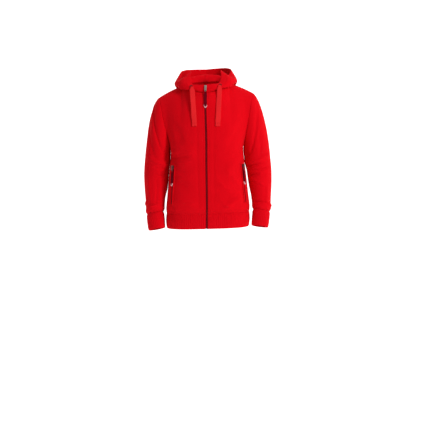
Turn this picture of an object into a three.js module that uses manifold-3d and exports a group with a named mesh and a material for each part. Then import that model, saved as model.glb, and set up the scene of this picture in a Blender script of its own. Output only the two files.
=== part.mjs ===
// Zip-front hoodie for a child of 9 to 10 years, in its worn form with the hood down.
// Millimetres, +Z up. The front faces -Y and +X is the wearer's left.
// The origin is the middle of the neck base, at the height of the side neck points.
import * as THREE from 'three';
import Module from 'manifold-3d';

const wasm = await Module();
wasm.setup();
const { Manifold, Mesh } = wasm;

const CLOTH = 2.4; // wall of brushed sweatshirt fleece
const HALF_SEAM = 0.15; // each piece stops this far short of a seam
const ZIP_HALF = 3.4; // from the middle of the zip to a front edge

const HEM_TOP = -455.5;
const HEM_MIDDLE = -481;
const HEM_BOTTOM = -507;
const ARMPIT = -230;
const LOW_ROWS = 9;
const HIGH_ROWS = 10;
const HALF_COLUMNS = 12;
const NECK_COLUMNS = 5; // of the half columns, those that end at the neckline
const SIDE_NECK = 0.56; // share of the neckline at the side neck point

// Half widths and depths of the body, and the y of its side seam.
const TORSO = [
  { z: -514, wide: 148, front: 107, back: 103 },
  { z: -456, wide: 147, front: 107, back: 103 },
  { z: -439, wide: 148, front: 111, back: 106 },
  { z: -400, wide: 144, front: 112, back: 103 },
  { z: -316, wide: 135.5, front: 109, back: 96 },
  { z: -270, wide: 130, front: 108, back: 98 },
  { z: -230, wide: 128, front: 106, back: 102 },
  { z: -180, wide: 128, front: 103, back: 103 },
];
const CORNER = 3; // power of the body's rounded oblong

// The neckline from centre front (share 0) to centre back (share 1), wearer's left.
const NECKLINE = [
  { share: 0.0, x: 0, y: -78, z: -39 },
  { share: 0.19, x: 40, y: -66, z: -31 },
  { share: 0.4, x: 68, y: -30, z: -14 },
  { share: 0.56, x: 75, y: 5, z: -6 },
  { share: 0.71, x: 62, y: 36, z: 0 },
  { share: 0.85, x: 35, y: 50, z: 3 },
  { share: 1.0, x: 0, y: 54, z: 3 },
];
const TIP = { x: 164.5, y: 5, z: -44.5 };
const ARMHOLE_FRONT = 52;
const ARMHOLE_BACK = 56;

// Rings of the sleeve below the armhole. out and back are slopes of the ring's plane.
const SLEEVE = [
  { z: -262, x: 176.4, wide: 43.4, deep: 49, y: -2, out: 0.42, back: 0 },
  { z: -316, x: 182.1, wide: 43.1, deep: 46, y: -8, out: 0.18, back: -0.06 },
  { z: -345, x: 183.5, wide: 41.9, deep: 44, y: -12, out: 0.05, back: -0.1 },
  { z: -373, x: 184.8, wide: 39.3, deep: 41, y: -16, out: -0.03, back: -0.14 },
  { z: -401, x: 186.3, wide: 35.5, deep: 38, y: -21, out: -0.08, back: -0.18 },
  { z: -430, x: 187.2, wide: 33.4, deep: 36, y: -26, out: -0.12, back: -0.2 },
  { z: -446, x: 187.6, wide: 33.2, deep: 35, y: -29, out: -0.14, back: -0.2 },
  { z: -456, x: 187, wide: 27.6, deep: 29.6, y: -31, out: -0.16, back: -0.2 },
];
const SLEEVE_SIDE = 1.5; // the wearer's left arm is held this much further out
const CAP_ROWS = 7;
const ARM_ROWS = 10;
const RING = 2 * HIGH_ROWS;

const CUFF = [
  { z: -456, x: 187, wide: 27.4, deep: 29.4, y: -31 },
  { z: -482, x: 184.6, wide: 27.4, deep: 29, y: -35.5 },
  { z: -508.5, x: 181.6, wide: 26.4, deep: 28, y: -40 },
];
const CUFF_RIBS = 28;
const HEM_RIBS = 130;
const RIB = 0.9;

// Sections of the hood from centre front to centre back, wearer's left. Each goes from the
// neckline over the roll (rise, drop, low) and up the outside (wide) to the face edge (rim).
const HOOD = [
  { share: 0.0, rise: [0, -78.8, -34], drop: [0, -79.6, -28], low: [0, -79.9, -23], wide: [0, -79.6, -17], rim: [0, -78, -11] },
  { share: 0.1, rise: [23, -76.5, -32], drop: [24, -78.5, -28], low: [25, -79.5, -24], wide: [25, -79, -17], rim: [24, -76, -10.5] },
  { share: 0.19, rise: [43, -70, -28], drop: [46, -73, -27], low: [50, -75.5, -24], wide: [52, -74, -14], rim: [46, -67, -6] },
  { share: 0.27, rise: [56, -60, -24], drop: [62, -64, -26], low: [70, -68, -23], wide: [72, -65, -4], rim: [54, -48, 14] },
  { share: 0.36, rise: [70, -44, -17], drop: [78, -50, -22], low: [88, -54, -20], wide: [90, -50, 4], rim: [54, -20, 38] },
  { share: 0.45, rise: [80, -18, -7], drop: [88, -24, -13], low: [99, -30, -14], wide: [101, -28, 5], rim: [73, -2, 18] },
  { share: 0.55, rise: [84, 10, 2], drop: [95, 8, -7], low: [105, 4, -8], wide: [108, 2, 6], rim: [93, 24, 42] },
  { share: 0.68, rise: [70, 48, 14], drop: [84, 56, -14], low: [92, 62, -38], wide: [108, 58, 0], rim: [88, 68, 49] },
  { share: 0.84, rise: [38, 68, 24], drop: [52, 90, -32], low: [54, 108, -100], wide: [66, 124, -32], rim: [52, 110, 51] },
  { share: 1.0, rise: [0, 72, 27], drop: [0, 98, -40], low: [0, 118, -120], wide: [0, 145, -48], rim: [0, 128, 50] },
];
const HOOD_PER = 3; // hood columns to each neckline column of the panels
const HOOD_COLUMNS = 2 * NECK_COLUMNS * HOOD_PER;
const HOOD_ROWS = 12;
const EYELET_COLUMN = 4.8; // the hood's column that the eyelet sits on

// Large soft folds of the body: a line in front view, how wide and how deep.
const BODY_FOLDS = [
  { face: 'front', x1: -128, z1: -250, x2: -40, z2: -318, wide: 17, deep: 5 },
  { face: 'front', x1: -126, z1: -300, x2: -52, z2: -362, wide: 15, deep: -4 },
  { face: 'front', x1: 126, z1: -262, x2: 48, z2: -336, wide: 16, deep: 4.5 },
  { face: 'front', x1: 120, z1: -150, x2: 60, z2: -205, wide: 18, deep: -3.5 },
  { face: 'front', x1: -118, z1: -140, x2: -66, z2: -196, wide: 18, deep: -4 },
  { face: 'front', x1: -118, z1: -408, x2: -24, z2: -432, wide: 14, deep: 4 },
  { face: 'front', x1: 118, z1: -398, x2: 30, z2: -436, wide: 14, deep: 4.5 },
  { face: 'back', x1: -110, z1: -270, x2: 60, z2: -318, wide: 17, deep: 5.5 },
  { face: 'back', x1: 116, z1: -330, x2: -44, z2: -366, wide: 16, deep: 5 },
  { face: 'back', x1: -96, z1: -372, x2: 70, z2: -400, wide: 15, deep: -4 },
  { face: 'back', x1: 70, z1: -140, x2: 96, z2: -250, wide: 16, deep: -4 },
  { face: 'back', x1: -72, z1: -150, x2: -98, z2: -262, wide: 16, deep: -4 },
  { face: 'back', x1: -80, z1: -438, x2: 84, z2: -430, wide: 13, deep: 4 },
];

// Folds of a sleeve: place along it and round it (0 inner seam, 0.5 outside), slant and size.
const SLEEVE_FOLDS = [
  { along: 0.3, round: 0.24, slant: 0.4, spread: 0.2, wide: 0.035, deep: 5 },
  { along: 0.42, round: 0.3, slant: 0.5, spread: 0.2, wide: 0.03, deep: -3.5 },
  { along: 0.55, round: 0.2, slant: -0.25, spread: 0.2, wide: 0.026, deep: 4 },
  { along: 0.62, round: 0.6, slant: 0.3, spread: 0.22, wide: 0.028, deep: -3.5 },
  { along: 0.7, round: 0.28, slant: 0.1, spread: 0.24, wide: 0.026, deep: 4 },
  { along: 0.76, round: 0.75, slant: -0.2, spread: 0.2, wide: 0.026, deep: 4 },
  { along: 0.85, round: 0.35, slant: 0.12, spread: 0.24, wide: 0.022, deep: 3.5 },
  { along: 0.91, round: 0.66, slant: -0.1, spread: 0.26, wide: 0.022, deep: 3 },
];

const COLOURS = {
  cloth: [0.85, 0.02, 0.07, 0, 0.9],
  rib: [0.83, 0.02, 0.07, 0, 0.9],
  tape: [0.55, 0.02, 0.05, 0, 0.8],
  chain: [0.5, 0.02, 0.06, 0.1, 0.5],
  metal: [0.72, 0.7, 0.67, 1, 0.3],
  dark: [0.3, 0.27, 0.22, 1, 0.35],
  cord: [0.4, 0.04, 0.08, 0, 0.8],
  tip: [0.86, 0.66, 0.66, 0, 0.45],
  string: [0.92, 0.08, 0.12, 0, 0.75],
};

const mix = (a, b, t) => a + (b - a) * t;
const clamp = (x, a, b) => Math.min(b, Math.max(a, x));
const V = (x, y, z) => new THREE.Vector3(x, y, z);

function smooth(a, b, x) {
  const t = clamp((x - a) / (b - a), 0, 1);
  return t * t * (3 - 2 * t);
}

// Reads one value of a table at any place between its rows, as a smooth curve.
function read(rows, at, key, x) {
  const up = rows[0][at] < rows[rows.length - 1][at];
  const list = up ? rows : [...rows].reverse();
  const n = list.length;
  if (x <= list[0][at]) return list[0][key];
  if (x >= list[n - 1][at]) return list[n - 1][key];
  let i = 0;
  while (list[i + 1][at] < x) i += 1;
  const slope = (a, b) => (list[b][key] - list[a][key]) / (list[b][at] - list[a][at]);
  const h = list[i + 1][at] - list[i][at];
  const m0 = i > 0 ? slope(i - 1, i + 1) : slope(i, i + 1);
  const m1 = i + 2 < n ? slope(i, i + 2) : slope(i, i + 1);
  const t = (x - list[i][at]) / h;
  const t2 = t * t;
  const t3 = t2 * t;
  return (2 * t3 - 3 * t2 + 1) * list[i][key] + (t3 - 2 * t2 + t) * h * m0
    + (3 * t2 - 2 * t3) * list[i + 1][key] + (t3 - t2) * h * m1;
}

// The wearer stands with one shoulder a little higher: a shear of z and a shift of x.
function pose(p) {
  const slope = 0.026 + 0.024 * smooth(-300, -50, p.z);
  const shift = 1 - 3 * smooth(-456, -230, p.z) - 4 * smooth(-230, -60, p.z);
  return V(p.x + shift, p.y, p.z + p.x * slope);
}

// Across and forward shares of a quarter of the body's rounded oblong.
function quarter(s) {
  const a = s * Math.PI / 2;
  const r = (Math.cos(a) ** CORNER + Math.sin(a) ** CORNER) ** (-1 / CORNER);
  return [Math.sin(a) * r, Math.cos(a) * r];
}

const zipX = (z) => mix(-3.5, -0.7, (z - HEM_BOTTOM) / (-11 - HEM_BOTTOM));

function middle(face, side, z) {
  return face === 'front' ? zipX(z) + side * ZIP_HALF : 0;
}

// A point on a level ring of the body. s is 0 at the middle and 1 at the side seam.
function ringPoint(face, side, s, z) {
  const [across, deep] = quarter(s);
  const edge = middle(face, side, z);
  const x = edge + (side * read(TORSO, 'z', 'wide', z) - edge) * across;
  const reach = face === 'front' ? -read(TORSO, 'z', 'front', z) : read(TORSO, 'z', 'back', z);
  return V(x, reach * deep, z);
}

function neckPoint(side, share) {
  const x = read(NECKLINE, 'share', 'x', share) * side;
  const edge = middle('front', side, -39) * (1 - smooth(0, 0.3, share));
  return V(x + edge, read(NECKLINE, 'share', 'y', share), read(NECKLINE, 'share', 'z', share));
}

// The top of a body panel: half of the neckline, then the shoulder seam.
function topPoint(face, side, s) {
  const part = NECK_COLUMNS / HALF_COLUMNS;
  if (s <= part + 1e-9) {
    const t = s / part;
    return neckPoint(side, face === 'front' ? t * SIDE_NECK : 1 - t * (1 - SIDE_NECK));
  }
  const t = (s - part) / (1 - part);
  const a = neckPoint(side, SIDE_NECK);
  return V(mix(a.x, TIP.x * side, t), mix(a.y, TIP.y, t), mix(a.z, TIP.z, t) + 3 * Math.sin(Math.PI * t));
}

function armholePoint(face, side, t) {
  const a = Math.PI * t;
  const reach = face === 'front' ? -ARMHOLE_FRONT : ARMHOLE_BACK;
  const z = (ARMPIT + TIP.z) / 2 - (TIP.z - ARMPIT) / 2 * Math.cos(a);
  const x = mix(read(TORSO, 'z', 'wide', ARMPIT), TIP.x, (z - ARMPIT) / (TIP.z - ARMPIT));
  return V(side * x, TIP.y * t + reach * Math.sin(a), z);
}

function highColumn(face, side, s, t) {
  const a = ringPoint(face, side, s, ARMPIT);
  const b = topPoint(face, side, s);
  const up = Math.sin(t * Math.PI / 2) ** 1.18;
  const away = Math.cos(t * Math.PI / 2) ** 1.18;
  return V(mix(a.x, b.x, t * t), b.y + (a.y - b.y) * away, mix(a.z, b.z, up));
}

function foldHeight(face, x, z) {
  let sum = 0;
  for (const f of BODY_FOLDS) {
    if (f.face !== face) continue;
    const dx = f.x2 - f.x1;
    const dz = f.z2 - f.z1;
    const t = ((x - f.x1) * dx + (z - f.z1) * dz) / (dx * dx + dz * dz);
    const off = ((x - f.x1) * dz - (z - f.z1) * dx) / Math.hypot(dx, dz);
    const ends = smooth(-0.15, 0.25, t) * (1 - smooth(0.75, 1.15, t));
    sum += f.deep * ends * Math.exp(-((off / f.wide) ** 2));
  }
  return sum;
}

// A point of a body panel. v runs 0 to 1 from hem to armpit and on to 2 at the top.
function bodyPoint(face, side, s, v) {
  let p;
  if (v <= 1) {
    p = ringPoint(face, side, s, mix(HEM_TOP, ARMPIT, v));
  } else {
    const t = v - 1;
    const shift = armholePoint(face, side, t).sub(highColumn(face, side, 1, t));
    p = highColumn(face, side, s, t).add(shift.multiplyScalar(s * s));
  }
  const fade = (1 - smooth(0.72, 0.97, s)) * smooth(0, 0.06, v) * (1 - smooth(1.5, 1.85, v))
    * (face === 'front' ? smooth(0.02, 0.25, s) : 1);
  const out = V(p.x, p.y * 1.4, 0).normalize();
  return p.addScaledVector(out, fade * foldHeight(face, p.x, p.z));
}

// A piece of cloth as rows of points, with its normals to be worked out.
function grid(name, rows, columns, closed, at) {
  const points = [];
  for (let r = 0; r <= rows; r += 1) {
    const line = [];
    for (let c = 0; c <= columns - (closed ? 1 : 0); c += 1) line.push(at(r, c));
    points.push(line);
  }
  return { name, points, closed };
}

function neighbours(g, c) {
  const n = g.points[0].length;
  return g.closed ? [(c + n - 1) % n, (c + 1) % n] : [Math.max(0, c - 1), Math.min(n - 1, c + 1)];
}

// Outward normals of a grid, found from the middle of what it wraps.
function ownNormals(g, outward) {
  const rows = g.points.length;
  g.normals = g.points.map((line, r) => line.map((p, c) => {
    const [a, b] = neighbours(g, c);
    const down = g.points[Math.max(0, r - 1)][c];
    const up = g.points[Math.min(rows - 1, r + 1)][c];
    const along = line[b].clone().sub(line[a]);
    return along.cross(up.clone().sub(down)).normalize();
  }));
  if (outward < 0) g.normals.forEach((line) => line.forEach((n) => n.negate()));
}

const keyOf = (p) => `${Math.round(p.x * 50)},${Math.round(p.y * 50)},${Math.round(p.z * 50)}`;

function edgeCells(g) {
  const rows = g.points.length;
  const n = g.points[0].length;
  const cells = [];
  for (let r = 0; r < rows; r += 1) {
    for (let c = 0; c < n; c += 1) {
      const edge = r === 0 || r === rows - 1 || (!g.closed && (c === 0 || c === n - 1));
      if (edge) cells.push([r, c]);
    }
  }
  return cells;
}

// At a seam that doesn't fold back on itself, both pieces share one normal.
function shareNormals(grids) {
  const found = new Map();
  for (const g of grids) {
    for (const [r, c] of edgeCells(g)) {
      const key = keyOf(g.points[r][c]);
      if (!found.has(key)) found.set(key, []);
      found.get(key).push([g, r, c, g.normals[r][c].clone()]);
    }
  }
  for (const list of found.values()) {
    for (const [g, r, c, own] of list) {
      const sum = own.clone();
      for (const [other, , , theirs] of list) {
        if (other !== g) sum.addScaledVector(theirs, smooth(0, 0.5, own.dot(theirs)));
      }
      g.normals[r][c] = sum.normalize();
    }
  }
}

// Draws the edges of a grid in by half a seam.
function trimEdges(g, sides) {
  const rows = g.points.length;
  const n = g.points[0].length;
  const copy = g.points.map((line) => line.map((p) => p.clone()));
  const pull = (r, c, r2, c2) => {
    const step = g.points[r2][c2].clone().sub(g.points[r][c]).normalize();
    copy[r][c].addScaledVector(step, HALF_SEAM);
  };
  for (let c = 0; c < n; c += 1) {
    if (sides.high) pull(rows - 1, c, rows - 2, c);
    const middle = n > HALF_COLUMNS + 1 ? HALF_COLUMNS : 0;
    if (sides.shoulder && Math.abs(c - middle) >= NECK_COLUMNS) pull(rows - 1, c, rows - 2, c);
  }
  const top = sides.shoulder ? LOW_ROWS : rows - 1;
  for (let r = 0; r <= top; r += 1) {
    if (sides.start) pull(r, 0, r, 1);
    if (sides.end) pull(r, n - 1, r, n - 2);
  }
  g.points = copy;
}

// Collects triangles by corner and turns them into a closed mesh with outward faces.
class Shell {
  constructor() {
    this.at = [];
    this.faces = [];
  }

  add(p) {
    this.at.push(p);
    return this.at.length - 1;
  }

  tri(a, b, c) {
    this.faces.push([a, b, c]);
  }

  quad(a, b, c, d) {
    this.tri(a, b, c);
    this.tri(a, c, d);
  }

  geometry(move = pose) {
    const at = this.at.map(move);
    let volume = 0;
    for (const [a, b, c] of this.faces) volume += at[a].dot(at[b].clone().cross(at[c]));
    const faces = volume < 0 ? this.faces.map(([a, b, c]) => [a, c, b]) : this.faces;
    const geometry = new THREE.BufferGeometry();
    geometry.setAttribute('position', new THREE.Float32BufferAttribute(at.flatMap((p) => p.toArray()), 3));
    geometry.setIndex(faces.flat());
    geometry.computeVertexNormals();
    return geometry;
  }
}

// A cloth wall on a grid: the outer points, the same moved in, and the rims between them.
function clothWall(g, thickness = () => CLOTH) {
  const shell = new Shell();
  const rows = g.points.length;
  const n = g.points[0].length;
  const outer = [];
  const inner = [];
  for (let r = 0; r < rows; r += 1) {
    outer.push(g.points[r].map((p) => shell.add(p)));
    inner.push(g.points[r].map((p, c) => shell.add(p.clone().addScaledVector(g.normals[r][c], -thickness(r, c)))));
  }
  const last = g.closed ? n : n - 1;
  for (let r = 0; r + 1 < rows; r += 1) {
    for (let c = 0; c < last; c += 1) {
      const d = (c + 1) % n;
      shell.quad(outer[r][c], outer[r][d], outer[r + 1][d], outer[r + 1][c]);
      shell.quad(inner[r][c], inner[r + 1][c], inner[r + 1][d], inner[r][d]);
    }
  }
  for (let c = 0; c < last; c += 1) {
    const d = (c + 1) % n;
    shell.quad(outer[0][c], inner[0][c], inner[0][d], outer[0][d]);
    shell.quad(outer[rows - 1][c], outer[rows - 1][d], inner[rows - 1][d], inner[rows - 1][c]);
  }
  if (!g.closed) {
    for (let r = 0; r + 1 < rows; r += 1) {
      shell.quad(outer[r][0], outer[r + 1][0], inner[r + 1][0], inner[r][0]);
      shell.quad(outer[r][n - 1], inner[r][n - 1], inner[r + 1][n - 1], outer[r + 1][n - 1]);
    }
  }
  return shell.geometry();
}

const bodyRows = LOW_ROWS + HIGH_ROWS;
const vOf = (r) => (r <= LOW_ROWS ? r / LOW_ROWS : 1 + (r - LOW_ROWS) / HIGH_ROWS);

function bodyGrids() {
  const half = (side) => grid(side > 0 ? 'front_left' : 'front_right', bodyRows, HALF_COLUMNS, false, (r, c) => (
    bodyPoint('front', side, c / HALF_COLUMNS, vOf(r))));
  const back = grid('back', bodyRows, 2 * HALF_COLUMNS, false, (r, c) => {
    const s = (c - HALF_COLUMNS) / HALF_COLUMNS;
    return bodyPoint('back', s < 0 ? -1 : 1, Math.abs(s), vOf(r));
  });
  return [half(1), half(-1), back];
}

function sleeveFold(t, round) {
  let sum = 0;
  for (const f of SLEEVE_FOLDS) {
    let d = round - f.round;
    if (d > 0.5) d -= 1;
    if (d < -0.5) d += 1;
    const off = t - f.along - f.slant * d;
    sum += f.deep * Math.exp(-((d / f.spread) ** 2) - ((off / f.wide) ** 2));
  }
  const inner = Math.min(round, 1 - round);
  return sum * smooth(0.04, 0.16, inner) * smooth(0.1, 0.25, t) * (1 - smooth(0.95, 1, t));
}

// Where a sleeve's ring crosses a given share of its girth, with share 0 next to the body.
function armRing(side, row, round) {
  const a = 2 * Math.PI * round;
  const out = -Math.cos(a) * row.wide;
  const dy = -Math.sin(a) * row.deep;
  const x = row.x + side * SLEEVE_SIDE + out;
  return V(side * x, row.y + dy, row.z + row.out * out + row.back * dy);
}

function armRow(z) {
  const row = { z };
  for (const key of ['x', 'wide', 'deep', 'y', 'out', 'back']) row[key] = read(SLEEVE, 'z', key, z);
  return row;
}

function sleevePoint(side, k, i) {
  const round = i / RING;
  const total = CAP_ROWS + ARM_ROWS;
  const low = SLEEVE[SLEEVE.length - 1].z;
  const first = SLEEVE[0].z;
  let p;
  if (k <= CAP_ROWS) {
    const face = round <= 0.5 ? 'front' : 'back';
    const share = round <= 0.5 ? round * 2 : 2 - round * 2;
    const a = armholePoint(face, side, share);
    const b = armRing(side, armRow(first), round);
    const w = (1 - Math.cos(Math.PI * share)) / 2;
    const turn = (face === 'front' ? -24 : 20) * Math.sin(Math.PI * share);
    const ta = V(side * mix(face === 'front' ? 12 : 18, 95, w), turn, mix(-46, -70, w));
    const tb = V(side * mix(4, 25, w), 0, mix(-55, -230, w));
    const t = k / CAP_ROWS;
    const t2 = t * t;
    const t3 = t2 * t;
    p = a.multiplyScalar(2 * t3 - 3 * t2 + 1).addScaledVector(ta, t3 - 2 * t2 + t)
      .addScaledVector(b, 3 * t2 - 2 * t3).addScaledVector(tb, t3 - t2);
  } else {
    p = armRing(side, armRow(mix(first, low, (k - CAP_ROWS) / ARM_ROWS)), round);
  }
  const a = 2 * Math.PI * round;
  const out = V(-Math.cos(a) * side, -Math.sin(a), 0);
  return p.addScaledVector(out, sleeveFold(k / total, round));
}

function sleeveGrid(side) {
  return grid(side > 0 ? 'sleeve_left' : 'sleeve_right', CAP_ROWS + ARM_ROWS, RING, true, (r, c) => (
    sleevePoint(side, r, c)));
}

// Sews the first row of a piece to the panels. Both take one normal there, and each end of
// the two walls is moved half a seam away from the line between them.
function sewOn(g, panels, done) {
  const found = new Map();
  for (const panel of panels) {
    for (const [r, c] of edgeCells(panel)) {
      const key = keyOf(panel.points[r][c]);
      if (!found.has(key)) found.set(key, []);
      found.get(key).push([panel, r, c]);
    }
  }
  const row = g.points[0].map((p) => p.clone());
  const moves = [];
  row.forEach((p, c) => {
    const cells = found.get(keyOf(p));
    if (!cells) return;
    const [i, j] = neighbours(g, c);
    const tangent = row[j].clone().sub(row[i]).normalize();
    const theirs = cells.reduce((sum, [q, r, k]) => sum.add(q.own[r][k]), V(0, 0, 0)).normalize();
    const inside = cells.reduce((sum, [q, r, k]) => {
      const r2 = clamp(r - 1, 0, q.points.length - 1);
      const k2 = k === 0 ? 1 : Math.min(k, q.points[0].length - 2);
      return sum.add(q.points[r2][k2].clone().sub(p));
    }, V(0, 0, 0));
    const across = (n, toward) => {
      const d = tangent.clone().cross(n).normalize();
      return d.dot(toward) < 0 ? d.negate() : d;
    };
    const mine = g.own[0][c];
    const intoPanel = across(theirs, inside);
    const intoPiece = across(mine, g.points[1][c].clone().sub(p));
    const n = theirs.clone().add(mine).addScaledVector(intoPanel, 0.9).addScaledVector(intoPiece, 0.9);
    n.addScaledVector(tangent, -n.dot(tangent)).normalize();
    const away = across(n, intoPiece.clone().sub(intoPanel));
    moves.push([c, n, away, cells]);
  });
  for (const [c, n, away, cells] of moves) {
    g.normals[0][c] = n;
    g.points[0][c] = row[c].clone().addScaledVector(away, HALF_SEAM);
    for (const [q, r, k] of cells) {
      const id = `${q.name} ${r} ${k}`;
      if (done.has(id)) continue;
      done.set(id, true);
      q.normals[r][k] = n.clone();
      q.sewn.push([r, k, away.clone().multiplyScalar(-HALF_SEAM)]);
    }
  }
  const sewn = new Set(moves.map(([c]) => c));
  row.forEach((_p, c) => {
    if (sewn.has(c)) return;
    const a = c - (c % HOOD_PER);
    const t = (c - a) / HOOD_PER;
    g.points[0][c] = g.points[0][a].clone().lerp(g.points[0][a + HOOD_PER], t);
    g.normals[0][c] = g.normals[0][a].clone().lerp(g.normals[0][a + HOOD_PER], t);
  });
}

// Moves the sewn points of a panel, once every piece has been sewn on.
function drawBack(g) {
  for (const [r, c, move] of g.sewn) g.points[r][c] = g.points[r][c].clone().add(move);
}

function hoodPoint(side, share, w) {
  const neck = neckPoint(side, share);
  const stops = [neck];
  for (const key of ['rise', 'drop', 'low', 'wide', 'rim']) {
    const axis = (i) => read(HOOD.map((row) => ({ share: row.share, v: row[key][i] })), 'share', 'v', share);
    const edge = middle('front', side, -25) * (1 - smooth(0, 0.3, share));
    stops.push(V(axis(0) * side + edge, axis(1), axis(2)));
  }
  const lengths = [0];
  for (let i = 1; i < stops.length; i += 1) {
    lengths.push(lengths[i - 1] + Math.max(2, stops[i].distanceTo(stops[i - 1])) ** 0.7);
  }
  const full = lengths[lengths.length - 1];
  const part = (axis) => read(stops.map((p, i) => ({ at: lengths[i] / full, v: p[axis] })), 'at', 'v', w);
  return V(part('x'), part('y'), part('z'));
}

// The first half of the hood's columns lies over the front panel, the rest over the back.
function hoodShare(c) {
  const t = 2 * c / HOOD_COLUMNS;
  return t <= 1 ? t * SIDE_NECK : mix(SIDE_NECK, 1, t - 1);
}

function hoodGrid(side) {
  const g = grid(side > 0 ? 'hood_left' : 'hood_right', HOOD_ROWS, HOOD_COLUMNS, false, (r, c) => (
    hoodPoint(side, hoodShare(c), r / HOOD_ROWS)));
  const seam = g.points[0];
  for (let c = 0; c < HOOD_COLUMNS; c += HOOD_PER) {
    for (let k = 1; k < HOOD_PER; k += 1) seam[c + k] = seam[c].clone().lerp(seam[c + HOOD_PER], k / HOOD_PER);
  }
  return g;
}

// A band with ribs raised on its outside. rings are closed or open rows of outer points.
function ribWall(base, ribs, closed, ringAt) {
  const shell = new Shell();
  const rows = base.length;
  const count = 2 * ribs + (closed ? 0 : 1);
  const inner = base.map((line) => line.map((p) => shell.add(p)));
  const outer = [];
  for (let r = 0; r < rows; r += 1) {
    const line = [];
    for (let i = 0; i < count; i += 1) line.push(shell.add(ringAt(r, i / (2 * ribs), i % 2)));
    outer.push(line);
  }
  const n = base[0].length;
  const strip = (lines, wrap) => {
    const m = lines[0].length;
    for (let r = 0; r + 1 < rows; r += 1) {
      for (let c = 0; c < (wrap ? m : m - 1); c += 1) {
        const d = (c + 1) % m;
        lines.turn(lines[r][c], lines[r][d], lines[r + 1][d], lines[r + 1][c]);
      }
    }
  };
  outer.turn = (a, b, c, d) => shell.quad(a, b, c, d);
  inner.turn = (a, b, c, d) => shell.quad(a, d, c, b);
  strip(outer, closed);
  strip(inner, closed);
  // A rim joins the ribbed line to the plain one, going along both by share.
  const rim = (r, flip) => {
    const m = closed ? n : n - 1;
    const k = closed ? count : count - 1;
    let i = 0;
    let j = 0;
    while (i < k || j < m) {
      const a = outer[r][i % outer[r].length];
      const b = inner[r][j % inner[r].length];
      const next = j >= m || (i < k && (i + 0.5) / k <= (j + 0.5) / m);
      const c = next ? outer[r][(i + 1) % outer[r].length] : inner[r][(j + 1) % inner[r].length];
      if (flip) shell.tri(a, b, c);
      else shell.tri(a, c, b);
      if (next) i += 1;
      else j += 1;
    }
  };
  rim(0, true);
  rim(rows - 1, false);
  if (!closed) {
    for (let r = 0; r + 1 < rows; r += 1) {
      const e = count - 1;
      const f = n - 1;
      shell.quad(outer[r][0], outer[r + 1][0], inner[r + 1][0], inner[r][0]);
      shell.quad(outer[r][e], inner[r][f], inner[r + 1][f], outer[r + 1][e]);
    }
  }
  return shell.geometry();
}

// A point and normal at any share of a polyline row.
function alongRow(points, normals, share, closed) {
  const m = closed ? points.length : points.length - 1;
  const x = clamp(share, 0, 1) * m;
  const i = Math.min(m - 1, Math.floor(x));
  const j = (i + 1) % points.length;
  const p = points[i].clone().lerp(points[j], x - i);
  const n = normals[i].clone().lerp(normals[j], x - i).normalize();
  return [p, n];
}

// The hem band follows the lowest row of the panels, from one side of the zip to the other.
function hemBand(frontLeft, frontRight, back) {
  const row = [];
  const normals = [];
  const take = (g, c) => {
    row.push(g.points[0][c]);
    normals.push(g.normals[0][c]);
  };
  for (let c = 0; c < HALF_COLUMNS; c += 1) take(frontLeft, c);
  for (let c = 2 * HALF_COLUMNS; c > 0; c -= 1) take(back, c);
  for (let c = HALF_COLUMNS; c >= 0; c -= 1) take(frontRight, c);
  const levels = [HEM_BOTTOM, HEM_MIDDLE, HEM_TOP - 2 * HALF_SEAM];
  const swell = [-1.5, 0.6, -0.6];
  const shapes = levels.map((z, k) => row.map((p, i) => {
    const n = V(normals[i].x, normals[i].y, 0).normalize();
    return [V(p.x + zipX(z) - zipX(HEM_TOP), p.y, z).addScaledVector(n, swell[k]), n];
  }));
  const base = shapes.map((line) => line.map(([p, n]) => p.clone().addScaledVector(n, -CLOTH)));
  return ribWall(base, HEM_RIBS, false, (r, share, raised) => {
    const [p, n] = alongRow(shapes[r].map((q) => q[0]), shapes[r].map((q) => q[1]), share, false);
    const edge = smooth(0, 0.01, share) * smooth(0, 0.01, 1 - share);
    return p.addScaledVector(n, (raised ? RIB : 0) * edge * (r === 1 ? 1 : 0.6));
  });
}

function cuffWall(side) {
  const drop = 2 * HALF_SEAM;
  const place = (r, round, grow) => {
    const row = { ...CUFF[r], out: -0.16, back: -0.2 };
    row.wide += grow;
    row.deep += grow;
    const p = armRing(side, row, round);
    if (r === 0) p.z -= drop;
    return p;
  };
  const base = CUFF.map((_, r) => Array.from({ length: RING }, (_v, c) => place(r, c / RING, -CLOTH)));
  return ribWall(base, CUFF_RIBS, true, (r, share, raised) => (
    place(r, share, raised ? RIB * (r === 1 ? 1 : 0.6) : 0)));
}

// The point, normal and two directions on a grid's outer facets at real row and column.
function onGrid(g, r, c) {
  const i = clamp(Math.floor(r), 0, g.points.length - 2);
  const j = clamp(Math.floor(c), 0, g.points[0].length - 2);
  const a = r - i;
  const b = c - j;
  const [p00, p01] = [g.points[i][j], g.points[i][j + 1]];
  const [p10, p11] = [g.points[i + 1][j], g.points[i + 1][j + 1]];
  const n = g.normals[i][j].clone().multiplyScalar((1 - a) * (1 - b))
    .addScaledVector(g.normals[i][j + 1], (1 - a) * b)
    .addScaledVector(g.normals[i + 1][j], a * (1 - b))
    .addScaledVector(g.normals[i + 1][j + 1], a * b).normalize();
  const p = a <= b
    ? p00.clone().addScaledVector(p01.clone().sub(p00), b).addScaledVector(p11.clone().sub(p01), a)
    : p00.clone().addScaledVector(p10.clone().sub(p00), a).addScaledVector(p11.clone().sub(p10), b);
  return [p, n];
}

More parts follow.
